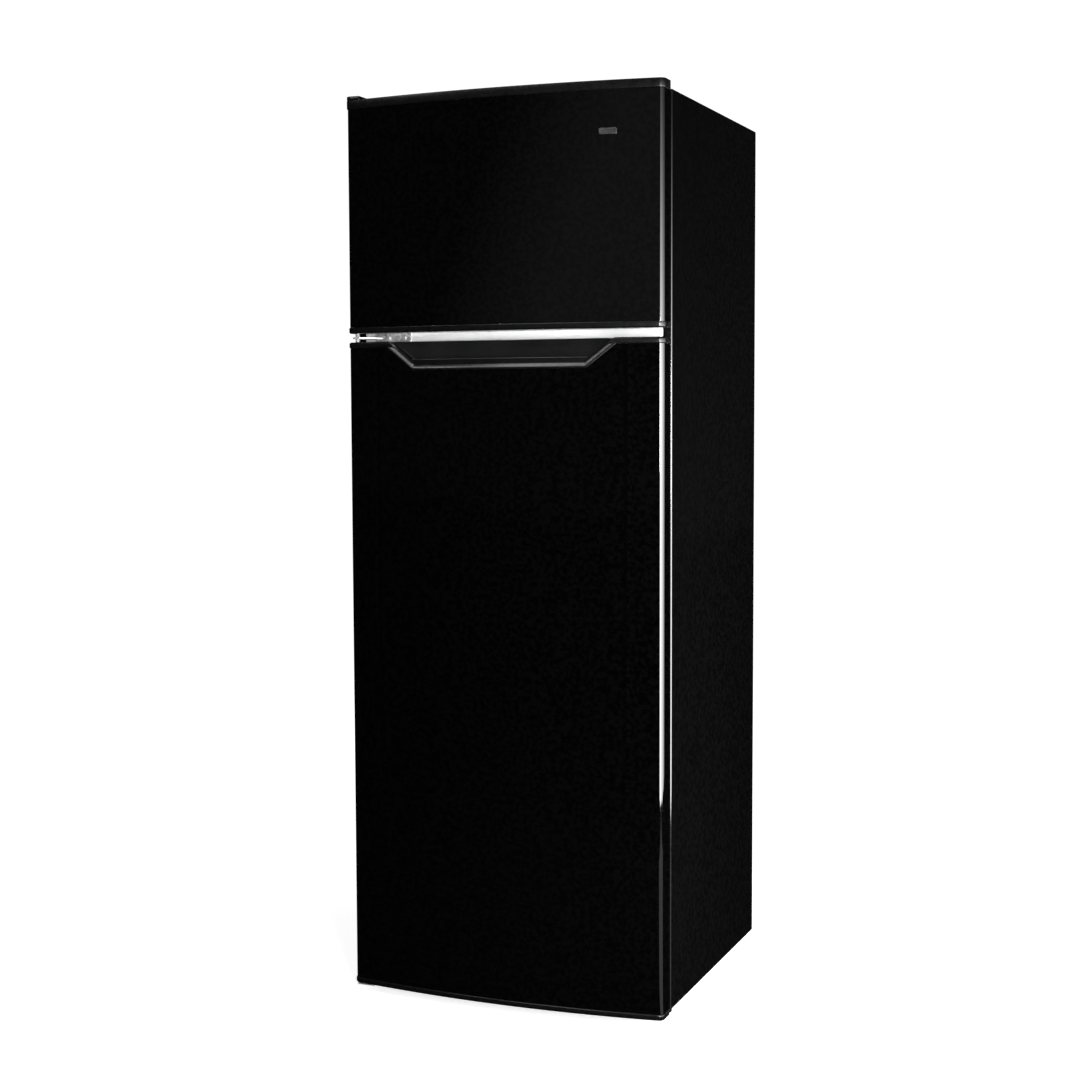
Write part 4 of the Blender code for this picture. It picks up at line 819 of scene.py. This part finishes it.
def compressor():
    """Sealed compressor with its welded seam, foot plate and rubber grommets."""
    low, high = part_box("compressor")
    middle = (low + high) / 2
    base = low.z + 0.0100
    radius = 0.0560
    profile = [(0.0001, 0.0), (0.0300, 0.0030), (0.0460, 0.0120), (0.0515, 0.0210), (0.0540, 0.0300),
               (0.0556, 0.0440), (radius, 0.0550), (0.0585, 0.0560), (0.0585, 0.0590), (radius, 0.0600),
               (radius, 0.0680), (0.0552, 0.0780), (0.0520, 0.0880), (0.0468, 0.0980), (0.0400, 0.1060),
               (0.0310, 0.1125), (0.0220, 0.1160), (0.0110, 0.1176), (0.0001, 0.1180)]
    dome = turned(profile, (middle.x, middle.y, base), steps=64, scale_x=1.32)
    outline = rounded_rectangle((middle.x - 0.0950, middle.y - 0.0500),
                                (middle.x + 0.0950, middle.y + 0.0500), 0.0080)
    plate = prism(outline, base, base + 0.0030, 'Z', 0.0006, 0.0006, 2)
    stub = turned([(0.0040, 0.1080), (0.0040, 0.1240), (0.0032, 0.1250)],
                  (middle.x + 0.0300, middle.y, base), steps=20)
    piece(gathered([dome, plate, stub]), "compressor_shell", "dark_steel", "cabinet", "compressor")
    grommets = []
    profile = [(0.0060, 0.0), (0.0080, 0.0006), (0.0080, 0.0040), (0.0062, 0.0052), (0.0062, 0.0092),
               (0.0062, 0.0135), (0.0078, 0.0142), (0.0072, 0.0165), (0.0030, 0.0172)]
    for dx in (-0.0840, 0.0840):
        for dy in (-0.0380, 0.0380):
            grommets.append(turned(profile, (middle.x + dx, middle.y + dy, low.z), steps=24))
    piece(gathered(grommets), "compressor_grommets", "black_rubber", "cabinet")


def rounded_path(points, radius=0.012, steps=6):
    """Line of points in space with its corners rounded."""
    line = [Vector(points[0])]
    for before, here, after in zip(points, points[1:], points[2:]):
        before, here, after = Vector(before), Vector(here), Vector(after)
        first, second = (before - here).normalized(), (after - here).normalized()
        half_angle = first.angle(second) / 2
        reach = min(radius / math.tan(half_angle), 0.45 * (before - here).length,
                    0.45 * (after - here).length)
        bend = reach * math.tan(half_angle)
        centre = here + (first + second).normalized() * bend / math.sin(half_angle)
        start = (here + first * reach - centre).normalized()
        end = (here + second * reach - centre).normalized()
        for step in range(steps + 1):
            line.append(centre + start.slerp(end, step / steps) * bend)
    return line + [Vector(points[-1])]


def pipes():
    """Copper lines between the compressor, the condenser and the cabinet."""
    low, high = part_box("compressor")
    middle = (low + high) / 2
    top = low.z + 0.1330
    suction = [(middle.x + 0.0300, middle.y, top - 0.004), (middle.x + 0.0300, middle.y, top + 0.0160),
               (middle.x + 0.0900, middle.y, top + 0.0160), (0.1000, 0.1900, 0.1500),
               (0.1000, 0.2000, 0.2120)]
    piece(tube(rounded_path(suction), 0.0032, 12), "suction_line", "copper", "cabinet")
    drier_low, drier_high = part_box("filter_drier")
    x, y = (drier_low.x + drier_high.x) / 2, (drier_low.y + drier_high.y) / 2
    capillary = [(x, y, drier_high.z - 0.002), (x, y, drier_high.z + 0.0120),
                 (x - 0.0150, y - 0.0100, 0.2000), (x - 0.0150, y - 0.0100, 0.2125)]
    piece(tube(rounded_path(capillary, 0.006), 0.0012, 8), "capillary_line", "copper", "cabinet")
    liquid = [(DROP_X, 0.2415, 0.1130), (DROP_X, 0.2360, 0.0500), (x, y, 0.0420),
              (x, y, drier_low.z + 0.002)]
    piece(tube(rounded_path(liquid), 0.0020, 10), "liquid_line", "copper", "cabinet")


def filter_drier():
    """Copper filter with swaged ends and clamping grooves."""
    low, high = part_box("filter_drier")
    middle = (low + high) / 2
    reach, radius = (high.z - low.z) / 2, (high.x - low.x) / 2
    half = [(0.0020, reach), (0.0020, 0.0570), (0.0034, 0.0545), (radius - 0.0008, 0.0470), (radius, 0.0440),
            (radius, 0.0330), (radius - 0.0007, 0.0322), (radius, 0.0314)]
    profile = half + [(r, -h) for r, h in reversed(half)]
    piece(turned(profile, middle, steps=32), "filter_drier_body", "copper", "cabinet", "filter_drier")


def front_feet():
    """Levelling feet with gripping flutes and a threaded stud."""
    profile = [(0.0150, 0.0), (0.0168, 0.0006), (0.0175, 0.0020), (0.0175, 0.0104), (0.0168, 0.0118),
               (0.0155, 0.0125), (0.0055, 0.0127)]
    for side in ("left", "right"):
        node_name = "front_foot_" + side
        low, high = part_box(node_name)
        middle = (low + high) / 2
        rings = []
        for radius, height in profile:
            ring = []
            for step in range(96):
                angle = 2 * math.pi * step / 96
                flute = 0.0011 * max(0.0, math.cos(8 * angle)) ** 2 * (radius > 0.0140)
                ring.append((middle.x + (radius - flute) * math.cos(angle),
                             middle.y + (radius - flute) * math.sin(angle), height))
            rings.append(ring)
        disc = skin(rings)
        thread = [(0.0040, 0.0120)]
        height = 0.0130
        while height < high.z - 0.001:
            thread += [(0.0040, height), (0.0034, height + 0.0006)]
            height += 0.0012
        thread.append((0.0030, high.z))
        stud = turned(thread, (middle.x, middle.y, 0.0), steps=24)
        piece(disc, node_name + "_disc", "dark_plastic", node_name, node_name)
        piece(stud, node_name + "_stud", "zinc_steel", node_name)


GLIDE = 0.0050                # radius of a corner glide


def corner_glides():
    """Rounded pads under the cabinet's front corners."""
    pads = []
    for side in (-1, 1):
        centre = (side * (SHELL_HIGH.x - GLIDE - 0.0006), SHELL_LOW.y + GLIDE + 0.0006, SHELL_LOW.z)
        profile = [(GLIDE * 0.94, 0.0008), (GLIDE, 0.0), (GLIDE, -0.0038), (GLIDE * 0.94, -0.0052),
                   (GLIDE * 0.78, -0.0063), (GLIDE * 0.50, -0.0070), (GLIDE * 0.20, -0.0072)]
        pads.append(turned(profile, centre, steps=32))
    piece(gathered(pads), "corner_glides", "dark_plastic", "cabinet")


def shelf_trims():
    """White edging on the front of each glass shelf."""
    for node_name in ("crisper_cover", "glass_shelf_lower", "glass_shelf_upper"):
        low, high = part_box(node_name)
        section = rounded_rectangle((low.y - 0.0030, low.z - 0.0030), (low.y + 0.0080, high.z + 0.0030),
                                    0.0022)
        trim = prism(section, low.x + 0.0095, high.x - 0.0095, 'X', 0.0006, 0.0006, 3)
        groove = cutter((low.x - 0.01, low.y + 0.0008, low.z - 0.0002),
                        (high.x + 0.01, low.y + 0.02, high.z + 0.0002))
        piece(cut(trim, groove), node_name + "_edging", "white_plastic", "cabinet")


def dial_marks():
    """Ticks round the thermostat knob."""
    low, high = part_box("thermostat_knob")
    centre = Vector(((low.x + high.x) / 2, 0.0, (low.z + high.z) / 2))
    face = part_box("control_housing")[0].y
    ticks = []
    for index in range(8):
        angle = math.radians(225 - index * 270 / 7)
        direction = Vector((math.cos(angle), 0.0, math.sin(angle)))
        tick = edged_box((-0.0008, -0.0002, -0.0003), (0.0008, 0.0001, 0.0003), 0.00005, 1)
        tick.data.transform(Matrix.Translation(centre + direction * 0.0190 + Vector((0, face, 0)))
                            @ Matrix.Rotation(-angle, 4, 'Y'))
        ticks.append(tick)
    piece(gathered(ticks), "dial_ticks", "dial_ink", "cabinet")


# CAD nodes that are shown as they are, with their look
CARRIED = {
    "freezer_liner": "white_plastic", "fridge_liner": "white_plastic", "cabinet_foam": "foam",
    "glass_shelf_lower": "glass", "glass_shelf_upper": "glass", "crisper_cover": "glass",
    "lamp": "clear_plastic", "evaporator_coil": "aluminium",
}
# CAD nodes that get rounded edges, with their look and the width of the rounding
REFINED = {
    "floor_sheet": ("dark_steel", 0.0004), "center_mullion": ("white_steel", 0.0005),
    "top_hinge": ("zinc_steel", 0.0004), "top_hinge_screw": ("zinc_steel", 0.0003),
    "middle_hinge": ("zinc_steel", 0.0004), "middle_hinge_screw_1": ("zinc_steel", 0.0003),
    "middle_hinge_screw_2": ("zinc_steel", 0.0003), "bottom_hinge": ("zinc_steel", 0.0004),
    "rear_foot_left": ("black_rubber", 0.0006), "rear_foot_right": ("black_rubber", 0.0006),
    "compressor_tray": ("dark_steel", 0.0004), "compressor_relay_cover": ("dark_plastic", 0.0006),
    "cord_gland": ("black_rubber", 0.0004), "rear_spacer_left": ("dark_plastic", 0.0010),
    "rear_spacer_right": ("dark_plastic", 0.0010), "evaporator_cover": ("white_plastic", 0.0005),
    "freezer_shelf": ("white_plastic", 0.0008), "control_housing": ("white_plastic", 0.0008),
    "lamp_cover": ("clear_plastic", 0.0004),
}


def cabinet():
    """Everything that stands still."""
    wrapper()
    pressed_back()
    back_screws()
    condenser()
    compressor()
    pipes()
    filter_drier()
    refined("top_hinge_cover", "dark_plastic", "cabinet", 0.0009, 3)
    corner_glides()
    shelf_trims()
    dial_marks()
    tray("drip_pan", "drip_tray", "dark_plastic", "cabinet", 0.0015, 0.0100, 0.0060, 0.0008)
    for name, look in CARRIED.items():
        keep(name, look)
    for name, (look, width) in REFINED.items():
        refined(name, look, "cabinet", width)


def loose_parts():
    """The small pieces that move on their own."""
    front_feet()
    tray("crisper_drawer", "crisper_box", "clear_plastic", "crisper_drawer", 0.0025, 0.0130, 0.0110, 0.0012)
    refined("thermostat_knob", "white_plastic", "thermostat_knob", 0.0006)
    refined("evaporator_fan", "dark_plastic", "evaporator_fan", 0.0003)
    refined("light_switch_plunger", "white_plastic", "light_switch_plunger", 0.0006)


# ---------------- stage
def floor():
    """Plain floor: white for the camera, nearly black in reflections and bounced light."""
    made = bpy.data.materials.new("floor_white")
    made.use_nodes = True
    tree = made.node_tree
    shader = tree.nodes["Principled BSDF"]
    shader.inputs["Roughness"].default_value = 0.85
    shader.inputs["Specular IOR Level"].default_value = 0.0
    shader.inputs["Emission Color"].default_value = (1.0, 1.0, 1.0, 1.0)
    path = node(tree, "ShaderNodeLightPath").outputs["Is Camera Ray"]
    place = node(tree, "ShaderNodeTexCoord").outputs["Object"]
    reach = node(tree, "ShaderNodeVectorMath", operation='LENGTH')
    tree.links.new(place, reach.inputs[0])
    near = ranged(tree, reach.outputs["Value"], 0.80, 1.05, 0.7, 1.9)
    seen = node(tree, "ShaderNodeMath", operation='MULTIPLY')
    tree.links.new(near, seen.inputs[0])
    tree.links.new(path, seen.inputs[1])
    tree.links.new(seen.outputs[0], shader.inputs["Emission Strength"])
    tree.links.new(mixed(tree, path, grey(0.003), grey(0.82)), shader.inputs["Base Color"])
    bm = bmesh.new()
    bmesh.ops.create_grid(bm, x_segments=2, y_segments=2, size=14.0)
    obj = from_bmesh(bm)
    obj.name = "floor"
    obj.data.materials.append(made)


def world():
    """Surround that is white for the camera and nearly black in reflections."""
    made = bpy.data.worlds.new("studio")
    made.use_nodes = True
    bpy.context.scene.world = made
    tree = made.node_tree
    background = tree.nodes["Background"]
    background.inputs["Color"].default_value = (1.0, 1.0, 1.0, 1.0)
    path = node(tree, "ShaderNodeLightPath").outputs["Is Camera Ray"]
    tree.links.new(ranged(tree, path, 0.0040, 1.05, 0.0, 1.0), background.inputs["Strength"])


def faded(light, direction, full, dark, power):
    """Let a light fall off across its face, from full to dark along a direction."""
    light.use_nodes = True
    tree = light.node_tree
    across = node(tree, "ShaderNodeVectorMath", operation='DOT_PRODUCT')
    across.inputs[1].default_value = direction
    tree.links.new(node(tree, "ShaderNodeNewGeometry").outputs["Parametric"], across.inputs[0])
    fall = ranged(tree, across.outputs["Value"], 1.0, 0.0, full, dark)
    shaped = node(tree, "ShaderNodeMath", operation='POWER')
    shaped.inputs[1].default_value = power
    tree.links.new(fall, shaped.inputs[0])
    tree.links.new(shaped.outputs[0], tree.nodes["Emission"].inputs["Strength"])


def softbox(name, centre, target, width, height, radiance):
    """Rectangular light of a given brightness, aimed at a point."""
    light = bpy.data.lights.new(name, 'AREA')
    light.shape = 'RECTANGLE'
    light.size = width
    light.size_y = height
    light.energy = radiance * math.pi * width * height
    obj = bpy.data.objects.new(name, light)
    bpy.context.scene.collection.objects.link(obj)
    direction = Vector(target) - Vector(centre)
    obj.rotation_euler = direction.to_track_quat('-Z', 'Y').to_euler()
    obj.location = centre
    obj.visible_camera = False
    return light


def polar(azimuth, distance, z):
    """Point at so many degrees from the front, turning to the right."""
    angle = math.radians(azimuth)
    return (distance * math.sin(angle), -distance * math.cos(angle), z)


WRAP_LIGHTS = ((36, 0.95, 10.8), (66, 0.95, 7.4), (97, 0.95, 3.6), (122, 0.55, 1.0))


def lights():
    """Soft boxes round the object."""
    # a row at the right, given as azimuth, width and radiance: the bright line along the door edge
    for azimuth, width, radiance in WRAP_LIGHTS:
        wrap = softbox("wrap", polar(azimuth, 1.75, 1.02), (0.1, -0.1, 1.02), width, 1.94, radiance)
        faded(wrap, (0, 1, 0), 0.50, 1.05, 3.0)
    softbox("tube", polar(23.5, 1.73, 0.99), (0.1, -0.1, 0.99), 0.14, 0.34, 62.0)
    # in front: the slanted gradient on the freezer door
    front = softbox("front", polar(-15, 3.4, 1.67), (0, -0.2, 1.67), 2.80, 0.90, 0.043)
    faded(front, (1.0, -0.35, 0), 0.50, 0.10, 1.0)
    # on the floor: the foot of the door edge
    softbox("skirt", (0.87, -0.77, 0.004), (0.87, -0.77, 1.0), 1.10, 1.10, 0.36)
    # high in front: the rim of the grip
    softbox("brow", polar(-20, 2.4, 2.99), (0, -0.25, 1.05), 0.80, 1.10, 4.3)
    softbox("brow_left", polar(-37, 2.4, 2.39), (0, -0.25, 1.05), 0.36, 0.36, 6.5)
    # above and behind: the other views
    softbox("top", (0.2, 0.0, 3.6), (0, 0, 0), 2.6, 2.6, 0.8)
    softbox("left_back", polar(-120, 2.8, 1.4), (0, 0, 0.8), 0.5, 1.6, 1.0)
    softbox("rear", polar(-152, 3.0, 1.6), (0, 0, 0.8), 2.0, 1.3, 1.2)


CAMERA_PLACE = (1.1238, -2.8694, 0.9632)
YAW, PITCH, ROLL = -0.3853, -0.0726, -0.0038


def camera():
    """Camera at the photograph's viewing angle."""
    forward = Vector((math.sin(YAW) * math.cos(PITCH), math.cos(YAW) * math.cos(PITCH), math.sin(PITCH)))
    level = Vector((math.cos(YAW), -math.sin(YAW), 0.0))
    upward = level.cross(forward)
    right = math.cos(ROLL) * level + math.sin(ROLL) * upward
    up = -math.sin(ROLL) * level + math.cos(ROLL) * upward
    data = bpy.data.cameras.new("camera")
    data.sensor_width = 36.0
    data.lens = 60.73
    obj = bpy.data.objects.new("camera", data)
    turn = Matrix((right, up, -forward)).transposed().to_4x4()
    obj.matrix_world = Matrix.Translation(CAMERA_PLACE) @ turn
    bpy.context.scene.collection.objects.link(obj)
    bpy.context.scene.camera = obj


camera()
floor()
world()
lights()
doors()
cabinet()
loose_parts()
bpy.context.scene.view_settings.view_transform = 'Standard'
